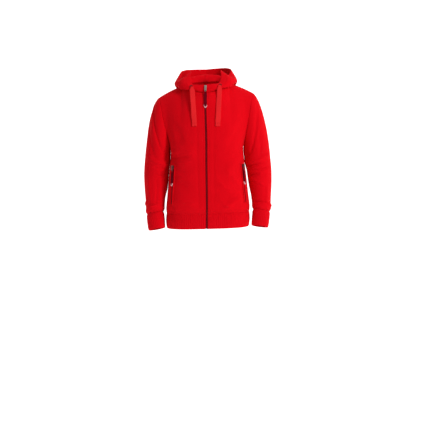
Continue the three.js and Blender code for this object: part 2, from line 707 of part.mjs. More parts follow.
// A flat strip lofted through rows of four corners: near left, near right, far right, far left.
function bar(rows) {
  const shell = new Shell();
  const ids = rows.map((row) => row.map((p) => shell.add(p)));
  for (let r = 0; r + 1 < ids.length; r += 1) {
    for (let k = 0; k < 4; k += 1) {
      const m = (k + 1) % 4;
      shell.quad(ids[r][k], ids[r][m], ids[r + 1][m], ids[r + 1][k]);
    }
  }
  const end = ids.length - 1;
  shell.quad(ids[0][3], ids[0][2], ids[0][1], ids[0][0]);
  shell.quad(ids[end][0], ids[end][1], ids[end][2], ids[end][3]);
  return shell;
}

// Stations up the zip: hem band, front edge of the panel, stand of the hood.
function zipStations(front, hood) {
  const list = [];
  const from = (p, q, n) => list.push({ p, step: q.clone().sub(p).normalize(), n });
  const low = front.points[0];
  const flat = V(0, -1, 0);
  for (const z of [HEM_BOTTOM + 0.4, HEM_MIDDLE]) {
    const move = V(zipX(z) - zipX(HEM_TOP), z < HEM_MIDDLE ? 1.4 : -0.5, z - HEM_TOP);
    from(low[0].clone().add(move), low[1].clone().add(move), flat);
  }
  front.points.forEach((line, r) => {
    if (r < front.points.length - 1) from(line[0], line[1], front.normals[r][0]);
  });
  hood.points.forEach((line, r) => {
    if (r > 2 && r < HOOD_ROWS) from(line[0], line[1], hood.normals[r][0]);
  });
  return list;
}

function zipTape(stations, side) {
  return bar(stations.map(({ p, step, n }) => {
    const neck = smooth(-85, -55, p.z);
    const deep = CLOTH + 0.5 + 3 * neck + 0.8 * smooth(-434, -456, p.z);
    const flat = n.clone().lerp(V(0, -1, 0), neck).normalize();
    const near = p.clone().addScaledVector(step, -(ZIP_HALF - 1.2)).addScaledVector(flat, -deep);
    const far = p.clone().addScaledVector(step, 11.5).addScaledVector(flat, -deep);
    const back = flat.clone().multiplyScalar(-0.8);
    return side > 0
      ? [near, far, far.clone().add(back), near.clone().add(back)]
      : [far, near, near.clone().add(back), far.clone().add(back)];
  })).geometry();
}

function zipChain(left, right) {
  const rows = [];
  left.forEach((a, i) => {
    const b = right[i];
    const p = a.p.clone().add(b.p).multiplyScalar(0.5);
    if (p.z > -21) return;
    const n = V(0, a.n.y + b.n.y, a.n.z + b.n.z).normalize();
    const at = (x, depth) => p.clone().add(V(x, 0, 0)).addScaledVector(n, -depth);
    rows.push([at(-2.7, 0.2), at(2.7, 0.2), at(2.7, 2.4), at(-2.7, 2.4)]);
  });
  return bar(rows).geometry();
}

function toManifold(geometry) {
  const position = geometry.getAttribute('position');
  const index = geometry.index ? geometry.index.array : Uint32Array.from({ length: position.count }, (_v, i) => i);
  const mesh = new Mesh({ numProp: 3, vertProperties: Float32Array.from(position.array), triVerts: Uint32Array.from(index) });
  mesh.merge();
  return new Manifold(mesh);
}

function fromManifold(solid) {
  const mesh = solid.getMesh();
  const geometry = new THREE.BufferGeometry();
  geometry.setAttribute('position', new THREE.BufferAttribute(Float32Array.from(mesh.vertProperties), 3));
  geometry.setIndex(new THREE.BufferAttribute(Uint32Array.from(mesh.triVerts), 1));
  geometry.computeVertexNormals();
  return geometry;
}

const join = (list) => fromManifold(list.map(toManifold).reduce((a, b) => a.add(b)));

function block(wide, deep, tall, x, y, z) {
  const geometry = new THREE.BoxGeometry(wide, deep, tall);
  geometry.translate(x, y, z);
  return geometry;
}

// A plate cut to an outline of [x, z] corners and given a thickness in y.
function plate(outline, y, thick, holes = []) {
  const shape = new THREE.Shape(outline.map(([x, z]) => new THREE.Vector2(x, z)));
  for (const corners of holes) {
    shape.holes.push(new THREE.Path(corners.map(([x, z]) => new THREE.Vector2(x, z))));
  }
  const geometry = new THREE.ExtrudeGeometry(shape, { depth: thick, bevelEnabled: false, curveSegments: 6 });
  geometry.rotateX(Math.PI / 2);
  geometry.translate(0, y + thick, 0);
  return geometry;
}

// A closed tube round a line of points.
function tube(points, radius, sides) {
  const shell = new Shell();
  const rings = points.map((p, i) => {
    const along = points[Math.min(points.length - 1, i + 1)].clone().sub(points[Math.max(0, i - 1)]).normalize();
    const first = V(0, 1, 0).cross(along).normalize();
    const second = along.clone().cross(first);
    return Array.from({ length: sides }, (_v, k) => {
      const a = 2 * Math.PI * k / sides;
      return shell.add(p.clone().addScaledVector(first, Math.cos(a) * radius)
        .addScaledVector(second, Math.sin(a) * radius));
    });
  });
  for (let r = 0; r + 1 < rings.length; r += 1) {
    for (let k = 0; k < sides; k += 1) {
      const m = (k + 1) % sides;
      shell.quad(rings[r][k], rings[r][m], rings[r + 1][m], rings[r + 1][k]);
    }
  }
  for (let k = 1; k + 1 < sides; k += 1) {
    const end = rings[rings.length - 1];
    shell.tri(rings[0][0], rings[0][k + 1], rings[0][k]);
    shell.tri(end[0], end[k], end[k + 1]);
  }
  return shell.geometry((p) => p);
}

// A slider in its own frame: the bail's pin is at the origin, the zip runs down along -Z.
const SLIDER = { wide: 9, tall: 17, plate: 1.7, pin: 2.6 };

function sliderBody(size, withBack) {
  const { wide, tall } = SLIDER;
  const w = wide * size / 2;
  const top = 7 * size;
  const low = top - tall * size;
  const front = SLIDER.pin;
  const parts = [
    plate([[-w, top - 2], [-w + 1.5, top], [w - 1.5, top], [w, top - 2], [w * 0.72, low], [-w * 0.72, low]],
      front, SLIDER.plate),
    block(2.2, 1.2, 10, 0, -2.5, 0),
    block(2.2, 6, 2, 0, 0.1, 4),
    block(2.2, 6, 2, 0, 0.1, -4),
  ];
  if (withBack) {
    parts.push(block(1.6, 11.4, 3, 0, front + 6.4, top - 2.2));
    parts.push(block(w * 1.7, 1.4, tall * size * 0.9, 0, front + 12.4, (top + low) / 2));
  }
  return join(parts);
}

const roundHole = (z, r) => Array.from({ length: 10 }, (_v, k) => {
  const a = 2 * Math.PI * k / 10;
  return [r * Math.cos(a), z + r * Math.sin(a)];
});

// The pull: a metal tab linked through the bail, a doubled cord through its hole and a
// moulded tip.
function pullParts(size, length) {
  const tabEnd = -15;
  const outline = [[-2.6, 1.1], [2.6, 1.1], [3.3, 0.2], [3.1, tabEnd + 2], [1.7, tabEnd - 0.6],
    [-1.7, tabEnd - 0.6], [-3.1, tabEnd + 2], [-3.3, 0.2]];
  const slot = [[-1.9, -7], [1.9, -7], [1.9, -1], [-1.9, -1]];
  const tab = plate(outline, -0.6, 1.2, [slot, roundHole(tabEnd + 2.9, 1.5)]);
  const tipTop = -length + 11;
  const side = 1.5;
  const turn = tabEnd + 2.3;
  const line = [V(-side, 0.7, tipTop + 0.3), V(-side, 0.9, turn - 8), V(-side, 1.9, turn - 2.4), V(-0.5, 1.6, turn + 0.1)];
  const back = [V(0.5, -1.4, turn + 0.1), V(side, -1.9, turn - 2.4), V(side, 0.4, turn - 8), V(side, 0.7, tipTop + 0.3)];
  const loop = tube([...line, V(0, 0.1, turn + 0.75), ...back], 0.95, 6);
  const gripTop = turn - 6;
  const grip = plate([[-2.8, gripTop], [2.8, gripTop], [4.2, gripTop - 2.5], [5, tipTop + 0.3],
    [-5, tipTop + 0.3], [-4.2, gripTop - 2.5]].map(([x, z]) => [x * size, z]), -0.6, 2.6);
  const cord = join([loop, grip]);
  const rounded = [[-5, 11], [5, 11], [5.6, 9.4], [5.3, 6.6], [3.6, 3.4], [1.2, 0.4], [0, 0], [-1.2, 0.4], [-3.6, 3.4],
    [-5.3, 6.6], [-5.6, 9.4]];
  const tip = plate(rounded.map(([x, z]) => [x * size, -length + z * 0.96]), -0.9, 3.2);
  return { tab, cord, tip };
}

// A frame on the surface: its origin at p, its z axis along up and its y axis into the cloth.
function frameOn(p, normal, up) {
  const z = up.clone().normalize();
  const y = normal.clone().negate();
  y.addScaledVector(z, -y.dot(z)).normalize();
  const x = y.clone().cross(z);
  return new THREE.Matrix4().makeBasis(x, y, z).setPosition(p);
}

// A strip laid on a panel along its rows, made from the panel's own points moved out.
function laidStrip(g, rowFrom, rowTo, steps, columnAt, half, lift, thick) {
  const rows = [];
  for (let k = 0; k <= steps; k += 1) {
    const r = mix(rowFrom, rowTo, k / steps);
    const c = columnAt(r);
    const [p] = onGrid(g, r, c);
    const [q] = onGrid(g, r, c + 0.3);
    const per = 0.3 / q.distanceTo(p);
    const [a, na] = onGrid(g, r, c - half * per);
    const [b, nb] = onGrid(g, r, c + half * per);
    rows.push([a.clone().addScaledVector(na, lift + thick), b.clone().addScaledVector(nb, lift + thick),
      b.clone().addScaledVector(nb, lift), a.clone().addScaledVector(na, lift)]);
  }
  return bar(rows).geometry();
}

function eyelet() {
  const profile = [[2.6, 0], [5.2, 0], [5.2, 0.7], [4.2, 1.5], [3.1, 1.5], [2.6, 0.9], [2.6, 0]]
    .map(([x, y]) => new THREE.Vector2(x, y));
  return toManifold(new THREE.LatheGeometry(profile, 20));
}

// How far forward the cloth lies under a point in front view.
function frontOf(grids, x, z) {
  let best = Infinity;
  for (const g of grids) {
    for (const line of g.points) {
      for (const p of line) {
        if (Math.hypot(p.x - x, p.z - z) < 15) best = Math.min(best, p.y);
      }
    }
  }
  return best;
}

// The flat string: bunched where it leaves the eyelet, then hanging against the chest.
const STRING = { wide: 17, thick: 2.4, end: -150 };

function stringSpread(k) {
  const spread = smooth(-1, 2.2, k);
  return { wide: mix(9.5, STRING.wide, spread), thick: mix(3.4, STRING.thick, spread) };
}

// The path runs along the string's face, from in front of the eyelet down the chest.
function stringPath(side, start, lip, grids) {
  const foot = V(start.x - side * 8.5, 0, STRING.end);
  const list = [];
  const steps = 16;
  for (let k = 0; k <= steps; k += 1) {
    const t = k / steps;
    const x = mix(start.x - side * 1.5, foot.x, t);
    const z = mix(start.z - 1, foot.z, t);
    const near = Math.min(...[-1, 0, 1].map((e) => frontOf(grids, x + e * 8, z)));
    list.push({ x, z, y: near - 0.7 - STRING.thick });
  }
  for (let pass = 0; pass < 3; pass += 1) {
    for (let k = 1; k < steps; k += 1) {
      list[k].y = Math.min(list[k].y, (list[k - 1].y + list[k + 1].y) / 2);
    }
  }
  list[0].y = lip - 0.3 - stringSpread(0).thick;
  return list;
}

function stringSolid(path) {
  const rows = path.map((q, k) => {
    const { wide, thick } = stringSpread(k);
    const [west, east] = [q.x - wide / 2, q.x + wide / 2];
    return [V(west, q.y, q.z), V(east, q.y, q.z), V(east, q.y + thick, q.z), V(west, q.y + thick, q.z)];
  });
  return bar(rows).geometry((p) => p);
}

function material(key) {
  const [r, g, b, metalness, roughness] = COLOURS[key];
  const m = new THREE.MeshStandardMaterial({ metalness, roughness });
  m.color.setRGB(r, g, b, THREE.SRGBColorSpace);
  m.name = key;
  return m;
}

const root = new THREE.Group();
root.name = 'hoodie';

function put(name, geometry, key, place) {
  const mesh = new THREE.Mesh(geometry, material(key));
  mesh.name = name;
  if (place) mesh.applyMatrix4(place);
  root.add(mesh);
}

// Small parts are made in the posed frame, so their own moves come after the pose.
function posed(g) {
  return { ...g, points: g.points.map((line) => line.map(pose)) };
}

function putPull(prefix, parts, place) {
  put(`${prefix}_tab`, parts.tab, 'metal', place);
  put(`${prefix}_cord`, parts.cord, 'cord', place);
  put(`${prefix}_tip`, parts.tip, 'tip', place);
}

// The direction up along a pull that hangs straight, just clear of the points under it.
function hangLine(pin, line, out, clear) {
  const last = line[line.length - 1];
  const up = pin.clone().sub(last);
  up.addScaledVector(out, -up.dot(out)).normalize();
  const tilt = Math.max(...line.map((q) => {
    const gap = q.clone().sub(pin);
    return (gap.dot(out) + clear) / -gap.dot(up);
  }));
  return up.addScaledVector(out, -tilt).normalize();
}

function buildZip(frontLeft, frontRight, hoods) {
  const left = zipStations(frontLeft, hoods[0]);
  const right = zipStations(frontRight, hoods[1]);
  put('zip_tape_left', zipTape(left, 1), 'tape');
  put('zip_tape_right', zipTape(right, -1), 'tape');
  put('zip_chain', zipChain(left, right), 'chain');
  const mid = (z) => {
    const near = left.map((q, i) => q.p.clone().add(right[i].p).multiplyScalar(0.5));
    return pose(V(zipX(z), read(near.map((q) => ({ z: q.z, y: q.y })), 'z', 'y', z), z));
  };
  const normal = V(0, -1, 0);
  const pin = mid(-19).add(V(0, -(SLIDER.pin + SLIDER.plate + 0.3), 0));
  const line = [-40, -50, -60, -70, -80, -90].map(mid);
  const up = hangLine(pin, line, normal, 3.2);
  const place = frameOn(pin, normal, up);
  put('slider_main', sliderBody(1, true), 'metal', place);
  putPull('pull_main', pullParts(1, 73), place);
}

const POCKET = { top: -283, low: -424, atTop: 119, atLow: 131, slider: -291, pull: 67 };
const POCKET_IN = 5.5; // the body is turned a little, so the right pocket shows this much nearer the middle

function buildPocket(name, grid0, side) {
  const rowAt = (z) => (z - HEM_TOP) / (ARMPIT - HEM_TOP) * LOW_ROWS;
  const columnAt = (r) => {
    const line = (c) => Math.abs(onGrid(grid0, r, c)[0].x);
    let low = 0;
    let high = HALF_COLUMNS;
    const share = (r - rowAt(POCKET.low)) / (rowAt(POCKET.top) - rowAt(POCKET.low));
    const goal = mix(POCKET.atLow, POCKET.atTop, share) - (side < 0 ? POCKET_IN : 0);
    for (let k = 0; k < 24; k += 1) {
      const c = (low + high) / 2;
      if (line(c) < goal) low = c;
      else high = c;
    }
    return low;
  };
  const strip = (from, to, half, lift, thick) => (
    laidStrip(grid0, rowAt(from), rowAt(to), 14, columnAt, half, lift, thick));
  put(`welt_${name}`, strip(POCKET.low, POCKET.top, 7, 1.3, 1), 'cloth');
  put(`pocket_zip_${name}`, strip(POCKET.low + 4, POCKET.top - 4, 2.4, 2.7, 1.2), 'chain');
  const r = rowAt(POCKET.slider);
  const [p, n] = onGrid(grid0, r, columnAt(r));
  const out = V(n.x, n.y, 0).normalize();
  const pin = pose(p).addScaledVector(out, 4.6 + SLIDER.pin + SLIDER.plate);
  const line = [12, 24, 36, 48, 60, 68].map((d) => {
    const row = rowAt(POCKET.slider - d);
    return pose(onGrid(grid0, row, columnAt(row))[0]);
  });
  const up = hangLine(pin, line, out, 6.6);
  const place = frameOn(pin, out, up);
  put(`slider_${name}`, sliderBody(0.75, false), 'metal', place);
  putPull(`pull_${name}`, pullParts(0.9, POCKET.pull), place);
}

function buildStrings(hoods, grids) {
  const flat = grids.map(posed);
  hoods.forEach((g, k) => {
    const side = k === 0 ? 1 : -1;
    const [p, n] = onGrid(g, 8.7, EYELET_COLUMN);
    const out = n.clone().normalize();
    let lift = 0;
    for (let r = 6; r <= HOOD_ROWS; r += 0.25) {
      for (let c = EYELET_COLUMN - 3; c <= EYELET_COLUMN + 3; c += 0.25) {
        const q = onGrid(g, r, c)[0].sub(p);
        if (q.length() < 8) lift = Math.max(lift, q.dot(out));
      }
    }
    lift += 0.35;
    const at = pose(p).addScaledVector(out, lift);
    const ring = fromManifold(eyelet());
    ring.rotateX(Math.PI);
    const place = frameOn(at, out, V(0, 0, 1).addScaledVector(out, -out.z));
    put(`eyelet_${side > 0 ? 'left' : 'right'}`, ring, 'dark', place);
    const lip = ring.clone().applyMatrix4(place);
    lip.computeBoundingBox();
    const path = stringPath(side, at, lip.boundingBox.min.y, flat);
    put(`drawstring_${side > 0 ? 'left' : 'right'}`, stringSolid(path), 'string');
  });
}

function build() {
  const [frontLeft, frontRight, back] = bodyGrids();
  const sleeves = [sleeveGrid(1), sleeveGrid(-1)];
  const hoods = [hoodGrid(1), hoodGrid(-1)];
  ownNormals(frontLeft, 1);
  ownNormals(frontRight, -1);
  ownNormals(back, -1);
  ownNormals(sleeves[0], -1);
  ownNormals(sleeves[1], 1);
  ownNormals(hoods[0], 1);
  ownNormals(hoods[1], -1);
  const all = [frontLeft, frontRight, back, ...sleeves, ...hoods];
  for (const g of all) {
    g.own = g.normals.map((line) => line.map((n) => n.clone()));
    g.sewn = [];
  }
  const panelGrids = [frontLeft, frontRight, back];
  shareNormals(panelGrids);
  shareNormals(hoods);
  const done = new Map();
  for (const g of [...sleeves, ...hoods]) sewOn(g, panelGrids, done);
  for (const g of panelGrids) drawBack(g);
  for (const g of [frontLeft, frontRight]) trimEdges(g, { shoulder: true, end: true });
  trimEdges(back, { shoulder: true, start: true, end: true });
  for (const g of sleeves) trimEdges(g, { high: true });
  for (const g of hoods) trimEdges(g, { end: true });
  const panels = { front_left: frontLeft, front_right: frontRight, back };
  for (const [name, g] of Object.entries(panels)) put(name, clothWall(g), 'cloth');
  for (const g of sleeves) put(g.name, clothWall(g), 'cloth');
  put('cuff_left', cuffWall(1), 'rib');
  put('cuff_right', cuffWall(-1), 'rib');
  put('hem_band', hemBand(frontLeft, frontRight, back), 'rib');
  for (const g of hoods) {
    put(g.name, clothWall(g, (r) => CLOTH + 0.8 * smooth(HOOD_ROWS - 2.4, HOOD_ROWS - 1, r)), 'cloth');
  }

  buildZip(frontLeft, frontRight, hoods);
  buildPocket('left', frontLeft, 1);
  buildPocket('right', frontRight, -1);
  buildStrings(hoods, [frontLeft, frontRight, ...hoods]);
}

build();

export default root;
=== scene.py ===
"""A child's zip front hoodie in its worn, hollow form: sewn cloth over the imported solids.

Lengths in the tables are millimetres. +Z is up, the front faces -Y and +X is the left side as worn.
"""
import math

import bmesh
import bpy
import numpy as np
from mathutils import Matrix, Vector


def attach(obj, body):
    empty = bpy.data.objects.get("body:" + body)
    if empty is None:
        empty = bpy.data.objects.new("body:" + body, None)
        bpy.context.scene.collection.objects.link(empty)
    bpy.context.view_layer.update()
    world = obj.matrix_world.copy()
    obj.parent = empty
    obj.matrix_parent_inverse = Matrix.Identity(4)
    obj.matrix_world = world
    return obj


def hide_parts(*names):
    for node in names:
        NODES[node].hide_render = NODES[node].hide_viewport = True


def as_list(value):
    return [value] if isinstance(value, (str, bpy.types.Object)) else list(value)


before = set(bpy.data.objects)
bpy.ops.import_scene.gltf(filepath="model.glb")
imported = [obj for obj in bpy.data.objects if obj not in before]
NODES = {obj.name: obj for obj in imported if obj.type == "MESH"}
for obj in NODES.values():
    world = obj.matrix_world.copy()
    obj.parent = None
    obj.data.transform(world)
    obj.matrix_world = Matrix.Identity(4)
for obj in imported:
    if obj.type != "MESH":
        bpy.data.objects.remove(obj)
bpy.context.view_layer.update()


def table(names, *rows):
    """A table as one dict a row, from the names of its columns and its rows."""
    keys = names.split()
    return [dict(zip(keys, row)) for row in rows]


CLOTH = 2.4  # thickness of the cloth's wall
ZIP_HALF = 3.4  # from the middle of the zip to a panel's edge
HEM_TOP = -455.5
HEM_BOTTOM = -507
ARMPIT = -230
SIDE_NECK = 0.56  # share of the neckline at which the shoulder seam starts
NECK_PART = 5 / 12  # share of a panel's top that lies on the neckline
# Steps of the meshes, along and across the pieces.
HALF_COLUMNS = 80
PANEL_ROWS = 200
RING = 120
SLEEVE_ROWS = 190
HOOD_COLUMNS = 130
HOOD_ROWS = 84

# The same tables as the solids have.
TORSO = table(
    "z wide front back",
    (-514, 148, 107, 103),
    (-456, 147, 107, 103),
    (-439, 148, 111, 106),
    (-400, 144, 112, 103),
    (-316, 135.5, 109, 96),
    (-270, 130, 108, 98),
    (-230, 128, 106, 102),
    (-180, 128, 103, 103),
)
NECKLINE = table(
    "share x y z",
    (0.0, 0, -78, -39),
    (0.19, 40, -66, -31),
    (0.4, 68, -30, -14),
    (0.56, 75, 5, -6),
    (0.71, 62, 36, 0),
    (0.85, 35, 50, 3),
    (1.0, 0, 54, 3),
)
TIP = {"x": 164.5, "y": 5, "z": -44.5}
ARMHOLE = {"front": -52, "back": 56}
SLEEVE = table(
    "z x wide deep y out back",
    (-262, 176.4, 43.4, 49, -2, 0.42, 0),
    (-316, 182.1, 43.1, 46, -8, 0.18, -0.06),
    (-345, 183.5, 41.9, 44, -12, 0.05, -0.1),
    (-373, 184.8, 39.3, 41, -16, -0.03, -0.14),
    (-401, 186.3, 35.5, 38, -21, -0.08, -0.18),
    (-430, 187.2, 33.4, 36, -26, -0.12, -0.2),
    (-446, 187.6, 33.2, 35, -29, -0.14, -0.2),
    (-456, 187, 27.6, 29.6, -31, -0.16, -0.2),
)
SLEEVE_SIDE = 1.5  # how far both arms are moved out
CAP_SHARE = 7 / 17  # share of the sleeve's rows that shapes its cap
CUFF = table(
    "z x wide deep y",
    (-456, 187, 27.4, 29.4, -31),
    (-482, 184.6, 27.4, 29, -35.5),
    (-508.5, 181.6, 26.4, 28, -40),
)
CUFF_RIBS = 28
HEM_RIBS = 130
RIB = 0.9  # height of a rib
RIB_STEPS = 8  # steps of the mesh for each rib
BAND_ROWS = 16
# Rows of stitches, by their distance from a seam or edge.
HEM_STITCH = (3.2, 8.8)
SHOULDER_STITCH = 3.4
ZIP_STITCH = 7
TUNNEL = 25
SEAM_STITCH = 3.6
STITCH = {"pitch": 3.2, "size": (1.3, 0.36, 0.36)}
STITCH_LIFT = 0.2
STRING_STITCH = {"pitch": 2.3, "size": (0.95, 0.34, 0.34)}
# The parts of a panel's top row that lie on its shoulder seams.
SHOULDERS = {"front": [(0.46, 1)], "back": [(0, 0.24), (0.76, 1)]}
POCKET = {"top": -283, "low": -424, "at_top": 119, "at_low": 131, "right_in": 5.5}
HOOD_KEYS = ("rise", "drop", "low", "wide", "rim")
HOOD = table(
    "share rise drop low wide rim",
    (0.0, (0, -78.8, -34), (0, -79.6, -28), (0, -79.9, -23), (0, -79.6, -17), (0, -78, -11)),
    (0.1, (23, -76.5, -32), (24, -78.5, -28), (25, -79.5, -24), (25, -79, -17), (24, -76, -10.5)),
    (0.19, (43, -70, -28), (46, -73, -27), (50, -75.5, -24), (52, -74, -14), (46, -67, -6)),
    (0.27, (56, -60, -24), (62, -64, -26), (70, -68, -23), (72, -65, -4), (54, -48, 14)),
    (0.36, (70, -44, -17), (78, -50, -22), (88, -54, -20), (90, -50, 4), (54, -20, 38)),
    (0.45, (80, -18, -7), (88, -24, -13), (99, -30, -14), (101, -28, 5), (73, -2, 18)),
    (0.55, (84, 10, 2), (95, 8, -7), (105, 4, -8), (108, 2, 6), (90, 23, 38)),
    (0.68, (70, 48, 14), (84, 56, -14), (92, 62, -38), (106, 58, 0), (79, 67, 48)),
    (0.84, (38, 68, 24), (52, 90, -32), (54, 108, -100), (66, 124, -32), (52, 110, 51)),
    (1.0, (0, 72, 27), (0, 98, -40), (0, 118, -120), (0, 145, -48), (0, 128, 50)),
)

# Folds of the body: a line in front view, how far its middle bows, how wide on its upper and
# lower side, and how deep. Troughs are below 0.
BODY_FOLDS = table(
    "face x1 z1 x2 z2 bow wide low deep",
    ("front", -128, -234, -40, -244, 4, 24, 20, 6),
    ("front", -132, -268, -54, -260, -3, 17, 7, -7.5),
    ("front", -126, -292, -70, -320, 3, 14, 7, -3),
    ("front", -126, -330, -66, -366, 0, 15, 13, -3),
    ("front", 126, -262, 58, -316, 0, 16, 16, 4),
    ("front", 20, -318, 92, -388, 6, 8, 11, 2.6),
    ("front", 36, -392, 78, -440, 4, 8, 10, 2.2),
    ("front", 62, -306, 116, -352, 3, 7, 9, 2.2),
    ("front", 118, -148, 76, -226, 6, 16, 16, -3.5),
    ("front", -116, -138, -92, -222, -6, 14, 14, -4.5),
    ("front", -118, -402, -24, -424, 0, 14, 14, 3.5),
    ("front", 124, -396, 60, -432, 0, 12, 14, 4),
    ("back", -110, -264, 60, -312, 6, 17, 12, 5.5),
    ("back", 116, -324, -44, -360, -6, 16, 10, 5),
    ("back", -96, -366, 70, -394, 5, 15, 8, -4.5),
    ("back", 70, -140, 96, -250, 8, 16, 12, -4),
    ("back", -72, -150, -98, -262, -8, 12, 16, -4),
    ("back", -80, -432, 84, -424, 4, 13, 13, 4),
)

# Folds of a sleeve: from (t1, r1) to (t2, r2), where t is the place along it, 0 armhole to 1 cuff,
# and r the place round it, 0 inner seam, 0.25 front, 0.5 outside and 0.75 back.
SLEEVE_FOLDS = {
    -1: table(
        "t1 r1 t2 r2 bow wide low deep",
        (0.07, 0.46, 0.3, 0.19, 4, 9, 5, -4.5),
        (0.13, 0.5, 0.42, 0.27, 5, 9, 6, -3.5),
        (0.22, 0.14, 0.44, 0.12, 0, 8, 8, -3),
        (0.45, 0.1, 0.43, 0.4, 5, 10, 7, 4),
        (0.5, 0.06, 0.53, 0.3, -4, 6, 8, -3.5),
        (0.57, 0.08, 0.6, 0.26, 3, 7, 7, -3),
        (0.6, 0.34, 0.9, 0.31, 3, 6, 8, 2.6),
        (0.62, 0.24, 0.92, 0.23, -3, 5, 6, -2.4),
        (0.9, 0.1, 0.93, 0.36, 2, 6, 5, 3.5),
        (0.86, 0.4, 0.9, 0.6, 3, 6, 6, 3),
        (0.56, 0.56, 0.62, 0.9, 6, 9, 7, 4),
        (0.66, 0.6, 0.7, 0.92, -5, 8, 7, -3.5),
        (0.14, 0.6, 0.34, 0.84, 5, 9, 7, -4),
        (0.88, 0.64, 0.92, 0.94, 3, 6, 5, 3.5),
    ),
    1: table(
        "t1 r1 t2 r2 bow wide low deep",
        (0.1, 0.4, 0.34, 0.14, -5, 12, 7, -3.5),
        (0.2, 0.1, 0.42, 0.1, 0, 8, 8, -4.5),
        (0.24, 0.3, 0.44, 0.27, 3, 8, 8, -2.6),
        (0.46, 0.08, 0.44, 0.46, 3, 9, 5, 4),
        (0.505, 0.05, 0.5, 0.25, -3, 5, 6, -5),
        (0.55, 0.12, 0.545, 0.4, 4, 5, 7, -3.6),
        (0.605, 0.05, 0.6, 0.24, 3, 5, 6, -4),
        (0.66, 0.1, 0.74, 0.3, -4, 8, 8, 3),
        (0.72, 0.34, 0.93, 0.32, 3, 6, 7, 2.4),
        (0.94, 0.08, 0.92, 0.28, -3, 5, 5, -4),
        (0.9, 0.3, 0.94, 0.56, 3, 6, 5, 3.4),
        (0.52, 0.58, 0.58, 0.92, 6, 9, 7, 4),
        (0.64, 0.56, 0.66, 0.86, -5, 8, 7, -3.5),
        (0.12, 0.62, 0.32, 0.86, 5, 9, 7, -4),
        (0.87, 0.62, 0.91, 0.92, 3, 6, 5, 3.5),
    ),
}
# How far the inside of each sleeve leans in, until it is just clear of the body.
ARM_PRESS = {
    1: {
        "z": (-312, -284, -272, -258, -246, -232),
        "deep": (0, 3.2, 3.0, 2.8, 2.4, 0),
    },
    -1: {
        "z": (-395, -370, -350, -322, -305, -290, -280, -270, -250, -238),
        "deep": (0, 1.8, 1.2, 0.7, 0.3, 0.1, 0.1, 0.8, 1.4, 0),
    },
}
# The sizes over which the creases of sleeves and hood are laid out.
SLEEVE_GIRTH = 268
SLEEVE_LENGTH = 425

# Finer creases of the body, in the same columns.
FINE_FOLDS = table(
    "face x1 z1 x2 z2 bow wide low deep",
    ("front", -33, -120, -30, -450, 1, 4, 6, -0.8),
    ("front", 27, -120, 24, -450, -1, 6, 4, -0.8),
    ("front", -126, -374, -118, -446, 2, 4, 4, -1.6),
    ("front", 119, -372, 126, -446, 2, 4, 4, -1.6),
    ("front", -122, -222, -78, -238, 2, 4, 5, -1.4),
    ("front", 122, -238, 84, -262, 3, 5, 4, -1.4),
    ("front", 74, -326, 112, -372, 3, 4, 4, -1.2),
    ("front", -47, -46, -20, -43, 1, 3, 5, -2.4),
    ("front", 20, -44, 40, -41, 1, 3, 5, -1.2),
    ("back", -60, -276, 20, -290, 4, 5, 4, -1.6),
    ("back", 96, -306, 30, -338, 3, 5, 4, -1.6),
    ("back", -112, -222, -60, -250, 4, 5, 4, -1.6),
    ("back", 112, -222, 64, -254, -4, 5, 4, -1.6),
)
# Creases of the hood: share round it (0 front, 1 back) and place up it (0 neck seam, 1 face edge).
HOOD_FOLDS = {
    1: table(
        "t1 r1 t2 r2 bow wide low deep",
        (0.62, 0.3, 0.3, 0.46, 4, 6, 4, -2.6),
        (0.72, 0.38, 0.5, 0.56, -3, 6, 6, 2.4),
        (0.24, 0.2, 0.4, 0.36, 2, 5, 5, -1.8),
        (0.4, 0.66, 0.84, 0.74, 4, 8, 6, -3.5),
        (0.36, 0.84, 0.86, 0.88, -4, 9, 7, 3),
    ),
    -1: table(
        "t1 r1 t2 r2 bow wide low deep",
        (0.6, 0.29, 0.34, 0.44, 3, 5, 5, -2.6),
        (0.74, 0.4, 0.48, 0.54, -3, 6, 6, 2.6),
        (0.22, 0.18, 0.44, 0.32, 3, 5, 5, -2),
        (0.44, 0.68, 0.8, 0.78, -4, 8, 6, -3.5),
        (0.3, 0.82, 0.9, 0.9, 4, 8, 8, 3),
    ),
}
HOOD_GIRTH = 250
HOOD_HEIGHT = 170


def mix(a, b, t):
    return a + (b - a) * t


def smooth(a, b, x):
    t = np.clip((np.asarray(x, float) - a) / (b - a), 0, 1)
    return t * t * (3 - 2 * t)


def xyz(x, y, z):
    return np.stack(np.broadcast_arrays(np.asarray(x, float), y, z), -1)


def unit(v):
    return v / np.maximum(np.linalg.norm(v, axis=-1, keepdims=True), 1e-9)


def sided(kind, side):
    return kind + ("_left" if side > 0 else "_right")


def line_lengths(line):
    """How far along a line each of its points lies."""
    return np.concatenate([[0], np.cumsum(np.linalg.norm(np.diff(line, axis=0), axis=1))])


def new_object(name, data):
    """A new object, linked to the scene."""
    made = bpy.data.objects.new(name, data)
    bpy.context.scene.collection.objects.link(made)
    return made


def curve_through(xs, ys, x):
    """Reads a smooth curve through the points xs, ys at x, flat beyond its ends."""
    x = np.clip(np.asarray(x, float), xs[0], xs[-1])
    slopes = np.empty(len(xs))
    slopes[0] = (ys[1] - ys[0]) / (xs[1] - xs[0])
    slopes[-1] = (ys[-1] - ys[-2]) / (xs[-1] - xs[-2])
    slopes[1:-1] = (ys[2:] - ys[:-2]) / (xs[2:] - xs[:-2])
    i = np.clip(np.searchsorted(xs, x, side="right") - 1, 0, len(xs) - 2)
    h = xs[i + 1] - xs[i]
    t = (x - xs[i]) / h
    rise = t * t * (3 - 2 * t)
    first = t * (1 - t) ** 2 * h * slopes[i]
    second = t * t * (t - 1) * h * slopes[i + 1]
    return mix(ys[i], ys[i + 1], rise) + first + second


